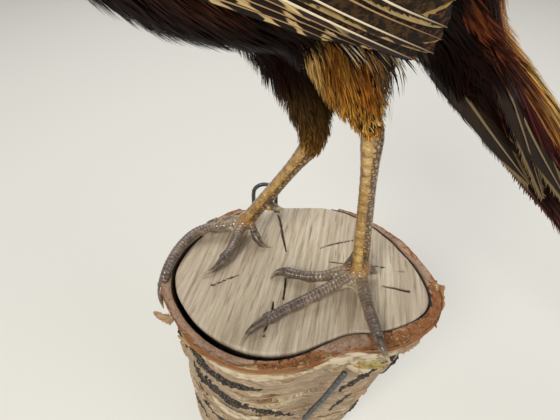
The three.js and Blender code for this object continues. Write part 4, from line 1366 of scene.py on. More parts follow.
def vanes(where, spacing, length, wide, rows=6, fringe=0.5):
    """A coat of body feathers over some faces. `length` is given by the share of the spine."""
    coat = Coat()
    roots = scatter(spacing, where)
    share = on_spine(roots)[0] / SPINE_LENGTH
    long = np.interp(share, *length) * (0.85 + 0.3 * rng.random(len(roots)))
    lines, tops = trace(roots, long, rows, coat_depth(roots) * 1.05)
    tint = plumage(roots)
    coat.lay(lines, tops, long * wide, rounded, body_unwrap(roots), tint, tint * 0.8, 4, 0.22, fringe)
    return coat


sleek = (face_share < 0.56 + 0.16 * ease(100, 125, face_angle)) & below
breast = vanes(below & ~sleek & (to_thigh > 32), 4.2, ([0.5, 0.7, 0.8], [22, 17, 12]), 0.27)
coat_breast = breast.piece("coat_breast", "plumage_copper")
feathered("breast feathers", coat_breast, 0.5, edge=((0.004, 0.002, 0.003), 1.0), gloss=(0.9, 0.25, 0.45))
BELLY_WARMTH = (0.85, 0.55, 0.5)
belly = Coat()
roots = scatter(1.95, sleek)
lines, tops = trace(roots, 15 + 6 * rng.random(len(roots)), 5, coat_depth(roots) * 1.1 + 1.3, 0.01, 0.1)
tint = plumage(roots) * BELLY_WARMTH
tufts(belly, lines, tops, 7, 0.8, 0.46, tint, tint * 1.2, body_unwrap(roots))
hairy("belly plumes", belly.piece("coat_belly", "plumage_copper"))

# ---------------------------------------------------------------- back, neck and head
# The mantle's copper-gold feathers have a black and cream middle. The neck is sheathed in small glossy
# blue-green feathers above a narrow, broken white collar, and the head's are the smallest.
on_back = BODY & below_neck & (face_angle <= BACK_TO + 4) & ~under_wing & (face_share > 0.5)
back = vanes(on_back, 4.4, ([0.3, 0.5, 0.7, 0.8], [26, 24, 19, 12]), 0.3)
MANTLE_EDGE, MANTLE_MIDDLE = ((0.07, 0.012, 0.010), 1.02), ((0.012, 0.008, 0.006), 0.5)
coat_back = back.piece("coat_back", "plumage_copper")
feathered("mantle feathers", coat_back, 0.5, edge=MANTLE_EDGE, inner=MANTLE_MIDDLE, gloss=(0.9, 0.3, 0.4))
on_neck = (face_node == "neck_upper") | (BODY & (face_share > 0.735))
neck = vanes(on_neck, 2.5, ([0.73, 0.8, 0.93], [11, 8.5, 6]), 0.27, rows=4, fringe=0.4)
feathered("neck feathers", neck.piece("coat_neck", "plumage_green"), 0.32, 0.5, gloss=(0.1, 0.5, 0.9))
head_coat = Coat()
roots = scatter(1.5, (face_node == "head") & ~bare_face)
local = (roots - HEAD_AT) @ HEAD_TO_BODY
long = np.interp(local[:, 0], [-28, -8, 20], [1.8, 3.2, 5.5]) * (0.85 + 0.3 * rng.random(len(roots)))
lines, tops = trace(roots, long, 3, coat_depth(roots) * 0.9, 0, 0.15)
tint = plumage(roots)
head_coat.lay(lines, tops, long * 0.26, rounded, body_unwrap(roots), tint, tint, 2, 0.25, 0.5)
feathered("head feathers", head_coat.piece("coat_head", "plumage_green"), 0.34, 0.4, gloss=(0.1, 0.9, 0.5))

# ---------------------------------------------------------------- wing coverts
# Rows of small to middling sandy-brown feathers over each wing's arm, with maroon edges.
SANDY = np.array([0.235, 0.135, 0.062])
COVERT_EDGE, COVERT_MIDDLE = ((0.11, 0.022, 0.014), 1.0), ((0.055, 0.035, 0.022), 0.55)
for name, _ in SIDES:
    coat = Coat()
    roots = scatter(4.3, face_node == f"wing_{name}_coverts")
    edge = (roots[:, 0] + 58) - 0.42 * (roots[:, 2] - 245)  # before or behind the line where the quills begin
    long = np.interp(edge, [-80, 0], [11, 24]) * (0.9 + 0.2 * rng.random(len(roots)))
    lines, tops = trace(roots, long, 7, coat_depth(roots), 0.0, 0.08)
    tint = SANDY * (1 + 0.35 * ripple(roots, 13, 3.0)[:, None])
    coat.lay(lines, tops, long * 0.27, rounded, body_unwrap(roots), tint, tint * 0.9, 4, 0.2, 0.45)
    coat_wing = coat.piece(f"coat_wing_{name}", "plumage_buff")
    feathered(f"wing coverts {name}", coat_wing, edge=COVERT_EDGE, inner=COVERT_MIDDLE)

# ---------------------------------------------------------------- thighs
# Loose hair-like plumes, golden, ochre and rust on the near thigh and black to olive-brown on the far
# one, the near thigh brightened as painted light and the far one darkened as painted shade. They thin out
# into bare scaly skin at the hock.
RUST = np.array([0.27, 0.075, 0.012])
OCHRE = np.array([0.50, 0.27, 0.055])
BLOND = np.array([0.74, 0.58, 0.30])
SHAG = np.array([0.085, 0.062, 0.042])
DUSK = np.array([0.74, 0.68, 0.72])  # dulls the upper half
OLIVE = np.array([0.105, 0.068, 0.022])
LIT_NEAR_THIGH = np.array([1.8, 1.5, 0.9])  # painted light: the near thigh's tints are brightened
SHADED_FAR_THIGH = np.array([0.85, 0.68, 0.5])  # painted shade: the far thigh's tints are darkened


def thigh_tint(points, name):
    _, down, _ = by_thigh(points, name)
    line = THIGH_LINES[name]
    aside = points[:, 0] - np.interp(points[:, 2], line[::-1, 2], line[::-1, 0])
    patch = ripple(points, 5.5, 11.0)
    if name == "right":
        tint = blend(MAROON * 0.4, OLIVE, ease(0.36, 0.6, down) * 0.9)
        tint = blend(tint, tint * 1.7, ease(0.1, 0.5, patch))
        # Painted shade: the far thigh's tints are darkened.
        return blend(tint, OCHRE * 0.6, ease(0.62, 0.9, down) * 0.85) * SHADED_FAR_THIGH
    tint = blend(OCHRE * 0.62, RUST * (0.62, 0.85, 1), ease(-0.05, 0.4, patch))
    tint = blend(tint, EARTH * 1.6, ease(-0.2, -0.5, patch) * 0.8)
    tint = blend(tint, OCHRE * 0.8, ease(0.55, 0.8, down) * 0.65)
    tint = blend(tint, SHAG * 1.3, ease(3, 8, aside) * ease(0.95, 0.6, down))
    tint = blend(tint * DUSK, tint, ease(0.45, 0.68, down))
    pale_clumps = ripple(points, 1.6, 4.0)[:, None] > 0.08
    clump = np.where(pale_clumps, BLOND * (0.5, 0.46, 0.42), OCHRE * (0.62, 0.58, 0.5))
    tint = blend(tint, clump, ease(0.74, 0.84, down) * 0.85)
    tint = blend(tint, BLOND * 0.8, ease(-8, -12, aside) * ease(0.56, 0.44, down) * ease(0.22, 0.3, down))
    # Painted light: the near thigh's tints are brightened.
    return blend(tint * LIT_NEAR_THIGH, OLIVE * 0.8, ease(0.3, 0.14, down) * 0.75)


def thigh_faces(name, margin):
    apart, down, _ = by_thigh(face_centres, name)
    side = face_centres[:, 1] < BODY_Y + 4 if name == "left" else face_centres[:, 1] > BODY_Y - 4
    own = (face_node == f"thigh_{name}") | (BODY & (apart < margin) & ~under_wing & side)
    return own & (face_centres[:, 2] < 205)


# Of each thigh: how far apart its tufts grow, how far plumes may hang off the skin, their half width, and
# their lengths by how far down they grow.
THIGH_COATS = {
    "left": (1.9, 5.0, 0.27, ([0.1, 0.5, 0.66, 0.78, 0.9, 1], [15, 11, 6.5, 4.2, 2.8, 1.8])),
    "right": (1.6, 7.5, 0.34, ([0.1, 0.5, 0.8, 1], [15, 12, 7, 3])),
}
for name, (spacing, held_to, half, lengths) in THIGH_COATS.items():
    coat = Coat()
    roots = scatter(spacing, thigh_faces(name, 19))
    _, down, _ = by_thigh(roots, name)
    long = np.interp(down, *lengths) * (0.75 + 0.5 * rng.random(len(roots)))
    rise = np.interp(down, [0, 0.5, 1], [3.0, 3.2, 0.9])
    if name == "right":
        line = THIGH_LINES[name]
        ahead = np.interp(roots[:, 2], line[::-1, 2], line[::-1, 0]) - roots[:, 0]
        rise = rise + 3.2 * ease(2, 8, ahead) * ease(0.6, 0.35, down)
    lines, tops = trace(roots, long, 5, rise, 0.05, 0.16)
    held = norm(lines[:, -1] - nearest_skin(lines[:, -1])[0]) < held_to
    roots, lines, tops = roots[held], lines[held], tops[held]
    tint = thigh_tint(roots, name)
    tufts(coat, lines, tops, 7, 0.75, half, tint * 0.85, tint * 1.25, body_unwrap(roots))
    hairy(f"thigh plumes {name}", coat.piece(f"coat_thigh_{name}", "plumage_copper"))

# ---------------------------------------------------------------- rump and tail coverts
# Long hair-like plumes hang over the root of the tail: black-brown at the front and below, maroon, then
# orange and gold along the upper edge.
STRAW_GOLD, BRONZE = np.array([0.72, 0.42, 0.105]), np.array([0.46, 0.175, 0.038])


def rump_tint(points):
    along, angle, _ = on_spine(points)
    share = along / SPINE_LENGTH
    round_by = np.degrees(np.abs(angle)) + 7 * ripple(points, 6, 4.0) + 20 * ease(0.295, 0.34, share)
    tint = blend(STRAW_GOLD, BRONZE, ease(64, 74, round_by))
    tint = blend(tint, MAROON * 1.9, ease(74, 83, round_by))
    tint = blend(tint, WARM_BLACK, ease(83, 94, round_by))
    return blend(tint, MAROON * 2.2, ease(0.16, 0.05, share) * ease(100, 60, round_by) * 0.8)


COVERTS_END = 137.0  # in x, where the coverts lie down on the tail


def plumes(name, where, spacing, long, half, sag):
    coat = Coat()
    roots = scatter(spacing, where)
    length = long * (0.75 + 0.5 * rng.random(len(roots)))
    length = np.minimum(length, np.maximum(5, (COVERTS_END - roots[:, 0]) * 1.3))
    lines, tops = trace(roots, length, 7, np.maximum(coat_depth(roots) * 0.4, 1.2), sag, 0.07)
    tint = rump_tint(roots)
    tufts(coat, lines, tops, 6, 1.1, half, tint * 0.9, tint * 1.2, body_unwrap(roots))
    hairy(name.replace("_", " "), coat.piece(name, "plumage_dark"), 0.42)


rear = BODY & (face_share < 0.46) & ~under_wing & ~near_thigh & (face_angle < 115)
plumes("coat_rump", (face_node == "rump") | rear, 2.9, 26, 0.36, 0.02)
plumes("coat_tail_coverts", (face_node == "tail_coverts") & ~under_tail, 3.0, 30, 0.38, 0.03)

# ---------------------------------------------------------------- the folded wings' long feathers
# The flight feathers are stacked with the innermost on the outside, so each lower one shows its shaft and
# its outer vane. The lowest have buff wedges between dark ovals, the next have a cream stripe, and the
# tertials are mottled.
FLIGHT = [  # from the lowest up: kind, root, middle and tip in x and z, half width, share off the shaft
    ("spotted", (-84, 216.5), (-10, 191.9), (3.5, 186.2), 3.6, 0.48),
    ("spotted", (-83, 221), (-10, 193.6), (9, 185.2), 3.8, 0.48),
    ("spotted", (-82, 225.5), (-10, 195.2), (14, 183.9), 3.9, 0.48),
    ("plain", (-81, 231), (-7.2, 195.4), (24, 180.6), 4.1, 0.5),
    ("striped", (-79, 236.5), (-1, 195.4), (27.5, 182.4), 4.0, 0.55),
    ("tertial", (-77, 242), (4.8, 195.8), (28, 185.9), 4.4, 0.5),
    ("striped", (-75, 248), (9.5, 196.6), (28, 188.8), 4.6, 0.5),
    ("tertial", (-73, 257), (10, 203), (27.5, 194.5), 8, 0.15),
    ("tertial", (-70, 263), (5, 213), (25.5, 203), 8.5, 0.1),
    ("tertial", (-67, 269), (1, 222), (22, 212), 9, 0.05),
    ("tertial", (-64, 275), (-6, 232), (17, 222), 9.5, 0),
    ("tertial", (-61, 281), (-12, 243), (11, 232), 10, 0),
    ("tertial", (-58, 287), (-19, 254), (4, 243), 10.5, 0),
    ("tertial", (-56, 293), (-26, 266), (-4, 254), 10.5, 0),
    ("tertial", (-54, 299), (-32, 278), (-13, 265), 10, 0),
]
FLIGHT_ROWS = 44
ROOT_DEPTH = 5.0  # their roots run in under the coverts
STACK_LOW, STACK_STEP = -2.6, 0.42


def wing_sheet(name, hand):
    """A smooth sheet through the folded wing's face: how far out it is, over x and z."""
    tree = cad_tree(f"wing_{name}_coverts", f"wing_{name}_quills")
    far = BODY_Y + hand * 150
    grid = [(x, far, z) for x in range(-130, 32, 5) for z in range(186, 326, 5)]
    rays = [tree.ray_cast(start, (0, -hand, 0))[0] for start in grid]
    hits = np.array([hit[:] for hit in rays if hit])

    def terms(x, z):
        x, z = x / 100, (z - 250) / 100
        return stack(*(x**i * z**j for i in range(5) for j in range(5 - i)))

    weights = np.linalg.lstsq(terms(hits[:, 0], hits[:, 2]), hits[:, 1], rcond=None)[0]
    return lambda x, z: terms(x, z) @ weights


def long_vane(t):
    """A flight feather: parallel edges, and a round tip."""
    return np.minimum(1, 0.45 + 3 * t) * np.sqrt(np.clip(1 - t**9, 0, 1)) + 0.02


def islands(count):
    """A strip of the bake map for each of some long feathers."""
    strips = np.arange(count) / count
    return np.stack([stack(strips + 0.004, 0.01), stack(strips + 1 / count - 0.004, 0.99)], axis=1)


def shafts(name, slot, sets, half, tone, thickest=1.1):
    """The raised shafts of some long feathers."""
    coat = Coat()
    spots = islands(sum(len(lines) for lines, _ in sets))

    def taper(t):
        return thickest - 0.85 * t

    for lines, tops in sets:
        here, spots = spots[: len(lines)], spots[len(lines) :]
        coat.lay(lines + tops * 0.45, tops, half, taper, here, tone, None, 2, 0.9)
    piece = coat.piece(name, slot)
    quill = Nodes(name.replace("_", " "), Roughness=0.28)
    _, v = vane_map(quill)
    quill.finish(piece, quill.over(quill.attribute("tint", "Color"), (v, (0.75, 1.0), (0.16, 0.08, 0.035))))


def flat_line(root, middle, tip, rows):
    """The x and z of a long feather's shaft."""
    return smooth_line([(*root, 0), (*middle, 0), (*tip, 0)], rows)[:, :2].T


DARK_VANE, RUST_VANE = (0.022, 0.013, 0.009), (0.17, 0.062, 0.022)
BUFF_VANE, CREAM_VANE = (0.98, 0.72, 0.34), (0.66, 0.45, 0.19)
SPOTS, SLANT = 7.5, 1.5  # turns of the spotted pattern along the feather, and across it


def flight_look(kind, piece, shaft):
    """The pattern of one kind of flight feather. u runs from its outer, lower edge to the inner one."""
    look = Nodes(f"{kind} {piece.name}", Roughness=0.5, Specular_IOR_Level=0.14)
    u, v = vane_map(look)
    from_shaft, grain = barb_grain(look, u, v, shaft, 120)
    inner = look.over(DARK_VANE, (look.grain(900, 3), (0.52, 0.62), RUST_VANE))
    if kind in ("spotted", "plain"):
        turns = look.plus(look.times(v, SPOTS), look.times(u, SLANT), "pick")
        wave = look.math("SINE", look.times(turns, 2 * math.pi))
        wave = look.plus(wave, look.level(grain, 0.3, 0.7, -0.3, 0.3))
        edges = look.math("POWER", look.level(u, 0, shaft, -1, 1), 2.0)
        spots = look.level(look.plus(wave, look.times(edges, 0.9)), 0.68, 0.82)
        if kind == "plain":
            spots = look.times(spots, look.level(v, 0.80, 0.70))
        outer = look.over(
            look.mix(spots, DARK_VANE if kind == "spotted" else (0.060, 0.036, 0.031), BUFF_VANE),
            (from_shaft, (0.045, 0.02, 0, 0.8), (0.26, 0.15, 0.07)),
            # Painted shadow: a near-black line along each feather's outer, lower edge, as the shadow line
            # between stacked feathers.
            (u, (0.04, 0.025), (0.008, 0.005, 0.003)),
        )
    elif kind == "striped":
        broken = look.level(look.grain(95, 3), 0.46, 0.6, 0, 0.13)
        margin = look.plus(u, look.level(grain, 0.3, 0.7, -0.035, 0.035), broken)
        outer = look.over(CREAM_VANE, (margin, (0.135, 0.16), (0.050, 0.026, 0.014)))
        # Painted shadow: a near-black line along each feather's outer, lower edge, as the shadow line between
        # stacked feathers.
        outer = look.over(outer, (u, (0.035, 0.015), (0.01, 0.006, 0.004)))
    else:
        patch = look.grain(520, 4, roughness=0.7)
        inner = look.over(inner, (patch, (0.5, 0.62), (0.10, 0.048, 0.018)))
        rim = look.plus(look.math("POWER", from_shaft, 2.0), look.level(v, 0.86, 1.0, 0, 0.14))
        rim = look.plus(rim, look.level(look.grain(110, 3), 0.42, 0.62, -0.09, 0.03))
        outer = look.over((0.020, 0.011, 0.006), (patch, (0.47, 0.56), (0.095, 0.047, 0.015)))
        outer = look.over(outer, (rim, (0.205, 0.24), (0.50, 0.31, 0.10)))
    tone = look.over(inner, (u, (shaft - 0.02, shaft + 0.02, 1, 0), outer))
    tone = look.over(tone, (grain, (0.36, 0.64, 0.38, 0), (0.004, 0.003, 0.002)))
    look.finish(piece, tone, grain, 0.0003)


for name, hand in SIDES:
    sheet = wing_sheet(name, hand)
    shaft_sets = {"pale": [], "tan": []}
    for kind in ("spotted", "plain", "striped", "tertial"):
        lines = []
        chosen = [(order, *feather[1:]) for order, feather in enumerate(FLIGHT) if feather[0] == kind]
        for order, root, middle, tip, _, _ in chosen:
            x, z = flat_line(root, middle, tip, FLIGHT_ROWS)
            lift = STACK_LOW + STACK_STEP * order + ROOT_DEPTH
            lift = lift * ease(0.0, 0.4, np.linspace(0, 1, FLIGHT_ROWS)) - ROOT_DEPTH
            lines.append(stack(x, sheet(x, z) + hand * lift, z))
        lines = np.array(lines)
        x, z = lines[..., 0], lines[..., 2]
        tops = unit(stack(sheet(x, z) - sheet(x + 1, z), 1, sheet(x, z) - sheet(x, z + 1)) * hand)
        half, skew = np.array([feather[4:] for feather in chosen]).T
        skew = skew.mean()
        coat = Coat()
        spots = islands(len(lines))
        coat.lay(lines, tops, half, long_vane, spots, EARTH, None, 8, 0.10, 0.1, -hand * skew, hand > 0)
        piece = coat.piece(f"wing_{name}_{kind}", "plumage_brown", f"wing_{name}_quills")
        flight_look(kind, piece, 0.5 - skew / 2)
        shaft_sets["pale" if kind in ("plain", "striped") else "tan"].append((lines, tops))
    shafts(f"wing_{name}_pale_shafts", "plumage_brown", shaft_sets["pale"], 0.5, (0.92, 0.78, 0.54))
    shafts(f"wing_{name}_tan_shafts", "plumage_brown", shaft_sets["tan"], 0.36, (0.48, 0.27, 0.11))

# A loose tuft of black and cream plumes hangs out under the left wing's edge.
TUFT_FROM, TUFT_TO, TUFT_REACH = np.array([1.5, -88.2, 188.2]), np.array([16.5, -84.6, 185.2]), 11.0
TUFT_PLUMES = 34
fan = Coat()
share = rng.random(TUFT_PLUMES)[:, None]
roots = TUFT_FROM * (1 - share) + TUFT_TO * share
way = unit(np.array([0.80, 0.16, -0.58]) + 0.13 * rng.normal(size=(TUFT_PLUMES, 3)))
reach = TUFT_REACH * (0.7 + 0.5 * rng.random((TUFT_PLUMES, 1, 1)))
steps = np.linspace(-0.35, 1, 7)[None, :, None]
lines = roots[:, None] + way[:, None] * steps * reach + np.array([0, 0, -2.2]) * steps**2
tops = np.broadcast_to([0.1, -0.97, 0.2], lines.shape)
tint = np.where(rng.random((TUFT_PLUMES, 1)) < 0.42, CREAM * 0.85, NIGHT * 1.5)
fan.lay(lines, tops, 0.34, pointed, body_unwrap(roots), tint, tint * 0.8, 2, 0.3)
hairy("under wing plumes", fan.piece("under_wing_tuft", "plumage_dark"))

# ---------------------------------------------------------------- the tail
# Eighteen long pointed feathers in a roof-shaped stack, the middle pair on top and longest. They are
# olive-buff with black bars and have loose red-purple fringes.
TAIL = [(42, 179), (70, 154), (108, 116.5), (200, 27), (290, -59), (366, -138)]
TAIL_PAIRS = [  # share of the tail's length, half width, how far aside, how far down and roll
    (1.0, 12.5, 4.5, 4.6, 0.10), (0.93, 12.5, 7.5, 3.4, 0.18), (0.84, 12.5, 10, 2.0, 0.28),
    (0.74, 12, 12.5, 0.3, 0.38),
    (0.64, 11.5, 14.5, -1.6, 0.46), (0.54, 11, 16, -3.6, 0.52), (0.45, 10.5, 17.5, -5.6, 0.56),
    (0.36, 10, 18.5, -7.6, 0.6), (0.27, 9.5, 19.5, -9.6, 0.6),
]
TAIL_ROWS = 70
TAIL_RUN = 500.0  # mm that one turn of the vane map's second number stands for
tail_line = smooth_line([(x, BODY_Y, z) for x, z in TAIL], 400)
tail_along, tail_tangent, tail_side, _ = frames_of(tail_line, (0, 1, 0))
tail_above = np.cross(tail_tangent, tail_side)
tail_above *= np.where(tail_above[:, 2:] < 0, -1, 1)


def tail_vane(t):
    """A tail feather: widest near its root, then narrowing to a point."""
    return np.minimum(1, 0.35 + 4 * t) * (1 - t) ** 0.62 + 0.015


CENTRE_PAIRS = 3
groups = {"centre": [], "left": [], "right": []}
for order, (share, half, aside, up, roll) in enumerate(TAIL_PAIRS):
    for name, hand in SIDES:
        s = np.linspace(0.02, share, TAIL_ROWS) * tail_along[-1]
        at, above, across = (sampled(s, tail_along, rows) for rows in (tail_line, tail_above, tail_side))
        spread = ease(0, 0.22, s / tail_along[-1]) * (1 - 0.75 * s / tail_along[-1])
        lift = 0.18 * hand + up * (0.4 + 0.6 * spread)
        line = at + across * (hand * aside * spread)[:, None] + above * lift[:, None]
        top = above * math.cos(roll) + across * (hand * math.sin(roll))
        groups["centre" if order < CENTRE_PAIRS else name].append((line, top, half, share))
SIDE_FEATHERS = [  # root, middle and tip in x and z, then half width and how far out from the middle plane
    ((38, 194), (54, 171), (76, 134), 4.6, 18.5), ((50, 182), (64, 158), (86, 130), 5, 19.5),
    ((48, 164), (66, 149.5), (104, 122), 5, 18.5), ((42, 170), (54, 156), (70, 139), 4.5, 18),
]
BAR = 11.5  # mm from one bar to the next
TAIL_TINT = np.array([0.3, 0.2, 0.1])
tail_sets = []
for name, members in groups.items():
    coat = Coat()
    lines, tops, half, share = (np.array(part) for part in zip(*members))
    tops = unit(tops)
    coat.lay(lines, tops, half, tail_vane, islands(len(lines)), TAIL_TINT, None, 8, 0.12, 0.35)
    # The pattern's second number runs in mm, so that the bars are as wide on short feathers as on long ones.
    rows = coat.vane[0].reshape(len(lines), -1, 2)
    rows[:, :, 1] *= (share * tail_along[-1] / TAIL_RUN)[:, None]
    coat.vane[0] = rows.reshape(-1, 2)
    piece = coat.piece(f"tail_{name}_feathers", "plumage_buff", f"tail_{name}")
    look = Nodes(piece.name.replace("_", " "), Roughness=0.55, Specular_IOR_Level=0.1)
    u, v = vane_map(look)
    from_shaft, grain = barb_grain(look, u, v, 0.5, 330)
    beat = look.times(look.minus(v, look.times(from_shaft, 0.012)), TAIL_RUN / BAR)
    saw = look.plus(look.math("FRACT", look.plus(beat, "pick")), look.level(grain, 0.3, 0.7, -0.12, 0.12))
    bar = look.times(look.level(saw, 0.10, 0.16), look.level(saw, 0.38, 0.30))
    purple = look.times(look.level(from_shaft, 0.27, 0.42), look.level(v, 0.75, 0.5))
    base = look.over((0.085, 0.052, 0.02), (grain, (0.35, 0.65), (0.27, 0.17, 0.065)))
    base = look.mix(look.times(purple, 0.9), base, (0.17, 0.045, 0.04))
    tone = look.mix(look.times(bar, look.level(v, 0.0, 0.06, 0.5, 0.95)), base, (0.009, 0.006, 0.004))
    rooted = look.plus(v, look.level(look.grain(160, 3), 0.3, 0.7, -0.035, 0.035))
    look.finish(piece, look.over(tone, (rooted, (0.12, 0.19, 0.85, 0), (0.012, 0.008, 0.005))), grain, 0.0003)
    tail_sets.append((lines, tops))
short = Coat()
lines, tops = [], []
for _, hand in SIDES:
    for root, middle, tip, _, out in SIDE_FEATHERS:
        x, z = flat_line(root, middle, tip, TAIL_ROWS)
        lines.append(stack(x, BODY_Y + hand * (out - 11 * np.linspace(1, 0, TAIL_ROWS) ** 2), z))
        tops.append(np.tile([0.25, hand * 0.93, 0.25], (TAIL_ROWS, 1)))
lines, tops = np.array(lines), unit(np.array(tops))
half = np.array([feather[3] for feather in SIDE_FEATHERS] * 2)
tint, tip = OLIVE * (0.3, 0.24, 0.22), EARTH * (0.42, 0.34, 0.3)
short.lay(lines, tops, half, tail_vane, islands(len(lines)), tint, tip, 8, 0.15, 0.4)
short_piece = short.piece("tail_side_feathers", "plumage_brown")
feathered("short tail feathers", short_piece, 0.5, 0.6, edge=((0.19, 0.13, 0.06), 1.06))
tail_sets.append((lines, tops))
shafts("tail_shafts", "plumage_buff", tail_sets, 0.55, (0.19, 0.13, 0.06), 1.05)

# ---------------------------------------------------------------- bill
# Pale horn, made in two halves that meet in a curved gape. The upper one hooks over the lower at the tip.
HEAD_ACROSS = HEAD_TO_BODY @ np.array([0.0, 1, 0])


def in_head(rows):
    """Rows that start with a place in the head's own frame, moved to the part's frame."""
    rows = np.array(rows, float)
    rows[..., :3] = rows[..., :3] @ HEAD_TO_BODY.T + HEAD_AT
    return rows


def culmen(s, angle):
    """A ridge along the top of the bill, and edges that turn out a little over the gape."""
    return 0.45 * band(angle, 1.5 * math.pi, 0.35) - 0.25 * band(angle, 0.5 * math.pi, 0.8)


UPPER_BILL = [
    (-20, 0, -3.4, 5.4, 4.5), (-26, 0, -3.2, 5.2, 4.5), (-31, 0, -3.7, 5.0, 4.2), (-40, 0, -5.4, 4.0, 3.5),
    (-47, 0, -8.2, 2.6, 2.5), (-51, 0, -11.2, 1.5, 1.5), (-52.8, 0, -14, 0.5, 0.6),
]
LOWER_BILL = [
    (-20, 0, -9.4, 4.9, 2.9), (-31, 0, -9.6, 4.2, 2.5), (-40, 0, -10.3, 3.0, 2.0),
    (-46.5, 0, -11.7, 1.1, 0.9),
]
upper = limb(in_head(UPPER_BILL), 32, 60, HEAD_ACROSS, culmen)
upper = mesh_piece("bill_upper_horn", upper, "horn", "bill_upper")
lower = limb(in_head(LOWER_BILL), 28, 44, HEAD_ACROSS)
lower = mesh_piece("bill_lower_horn", lower, "horn", "bill_lower")
bill = Nodes("bill horn", Roughness=0.34)
layers = bill.grain(900, 3, bill.stretched((0.25, 1, 1), (0, 0, -HEAD_TURN)))
tone = bill.ramp(layers, (0.3, 0.42, 0.36, 0.20), (0.55, 0.60, 0.54, 0.35), (0.75, 0.70, 0.66, 0.48))
across = bill.add("SeparateXYZ", {"Vector": bill.at}).outputs["X"]
tone = bill.over(tone, (across, (-0.178, -0.160, 0, 0.55), (0.20, 0.17, 0.11)))
bill.finish([upper, lower], tone, layers, 0.00012)
bm, flaps = bmesh.new(), bmesh.new()
for _, hand in SIDES:
    for target, centre, size in (
        (bm, (-27.5, hand * 4.55, -2.9), (2.3, 0.65, 0.62)),
        (flaps, (-26.9, hand * 4.5, -1.9), (2.9, 1.0, 0.95)),
    ):
        place = Matrix.Translation(HEAD_AT.tolist()) @ Matrix.Rotation(HEAD_TURN, 4, "Z")
        place = place @ Matrix.Translation(centre) @ Matrix.Rotation(math.radians(9 * hand), 4, "Z")
        place = place @ Matrix.Diagonal((*size, 1))
        bmesh.ops.create_uvsphere(target, u_segments=20, v_segments=12, radius=1, matrix=place)
nostrils = mesh_piece("nostrils", bm, "horn")
# Painted shade: the nostrils are dark ovals sunk under the flaps, standing in for the shade inside the
# openings.
Nodes("nostril", Base_Color=(0.02, 0.012, 0.008), Roughness=0.7).finish(nostrils)
bill.finish(mesh_piece("nostril_flaps", flaps, "horn"))

# ---------------------------------------------------------------- eyes
# Glass domes with an amber iris, set in the head by lids of bare skin.
EYE_R = 5.2
EYE_AT = (-9.5, 12.2, 4.2)
EYE_AXIS = (-0.16, 1, 0.06)
LID_PROFILE = [  # degrees from the eye's axis, and how far from its centre
    (50, 4.8), (50.5, 5.3), (53, 5.75), (57, 5.85), (61, 5.7), (64, 5.85), (70, 5.75), (80, 5.6), (96, 5.3),
]
LID_WIDE, LID_HIGH = 1.06, 0.93
balls, lids = [], []
for name, hand in SIDES:
    centre = in_head([np.array(EYE_AT) * (1, hand, 1)])[0]
    axis = unit(HEAD_TO_BODY @ (np.array(EYE_AXIS) * (1, hand, 1)))
    forward = unit(np.cross(axis, (0, 0, 1)))
    high = np.cross(forward, axis)
    bm = bmesh.new()
    bmesh.ops.create_uvsphere(bm, u_segments=48, v_segments=32, radius=EYE_R)
    bmesh.ops.translate(bm, verts=bm.verts, vec=centre.tolist())
    number_layers(bm, off_axis=np.arccos(np.clip(unit(spots_of(bm) - centre) @ axis, -1, 1)))
    balls.append(mesh_piece(f"eye_{name}_glass", bm, "eye_glass", f"eye_{name}"))

    def place_lid(u, v):
        around = 2 * math.pi * u * hand
        row = v * (len(LID_PROFILE) - 1)
        off, far = sampled(row, np.arange(len(LID_PROFILE)), np.array(LID_PROFILE)).T
        narrow, flat = ease(1.0, 0.3, v), np.sin(np.radians(off))
        wide = flat * np.cos(around) * (1 + (LID_WIDE - 1) * narrow)
        tall = flat * np.sin(around) * (1 + (LID_HIGH - 1) * narrow)
        out = np.cos(np.radians(off))[:, None] * axis + wide[:, None] * forward + tall[:, None] * high
        return centre + unit(out) * far[:, None]

    bm = bent_grid(64, 26, place_lid, weld=1e-3)
    lids.append(mesh_piece(f"eye_{name}_lids", bm, "wattle_skin"))
glass = Nodes("eye glass", Roughness=0.04, Coat_Weight=1.0, Coat_Roughness=0.02, IOR=1.5)
tone = glass.ramp(
    glass.math("DIVIDE", "off_axis", math.pi / 2), (0.27, 0.002, 0.002, 0.002), (0.29, 0.16, 0.055, 0.01),
    (0.36, 0.55, 0.26, 0.045), (0.52, 0.36, 0.14, 0.025), (0.57, 0.01, 0.006, 0.004),
)
glass.finish(balls, glass.over(tone, (glass.grain(1600, 3), (0.4, 0.7, 0, 0.3), (0.05, 0.02, 0.005))))
lid_skin = Nodes("eyelid skin", Roughness=0.5)
folds = lid_skin.grain(1500, 3)
tone = lid_skin.over((0.09, 0.02, 0.015), (folds, (0.4, 0.62), (0.26, 0.04, 0.025)))
lid_skin.finish(lids, tone, folds, 0.0003)

# ---------------------------------------------------------------- bare red skin of the face
# Dried scarlet skin round each eye, raised in small granules, with fine black specks of feather.
GRANULE = 1.15
faces = []
for name, _ in SIDES:
    bm = fused(cad_shape(f"wattle_{name}"), VOXEL, 3)
    spots = spots_of(bm)
    cells = np.minimum([noise.voronoi(Vector(p) / GRANULE)[0][0] for p in spots.tolist()], 1.0)
    height = 0.42 * (0.55 - cells) + 0.3 * ripple(spots, 3.2, 5.0)
    move_to(bm, spots + normals_of(bm) * height[:, None])
    number_layers(bm, granule=1 - cells)
    faces.append(mesh_piece(f"wattle_{name}_skin", bm, "wattle_skin", f"wattle_{name}"))
flesh = {"Subsurface_Weight": 0.12, "Subsurface_Scale": 0.002, "Subsurface_Radius": (1.0, 0.25, 0.15)}
scarlet = Nodes("scarlet skin", Roughness=0.48, **flesh)
tone = scarlet.over(
    (0.16, 0.008, 0.008), ("granule", (0.35, 0.75), (0.56, 0.030, 0.020)),
    (scarlet.grain(1100, 2), (0.68, 0.73, 0, 0.85), (0.02, 0.008, 0.008)),
)
scarlet.finish(faces, tone, scarlet.grain(2600, 2))

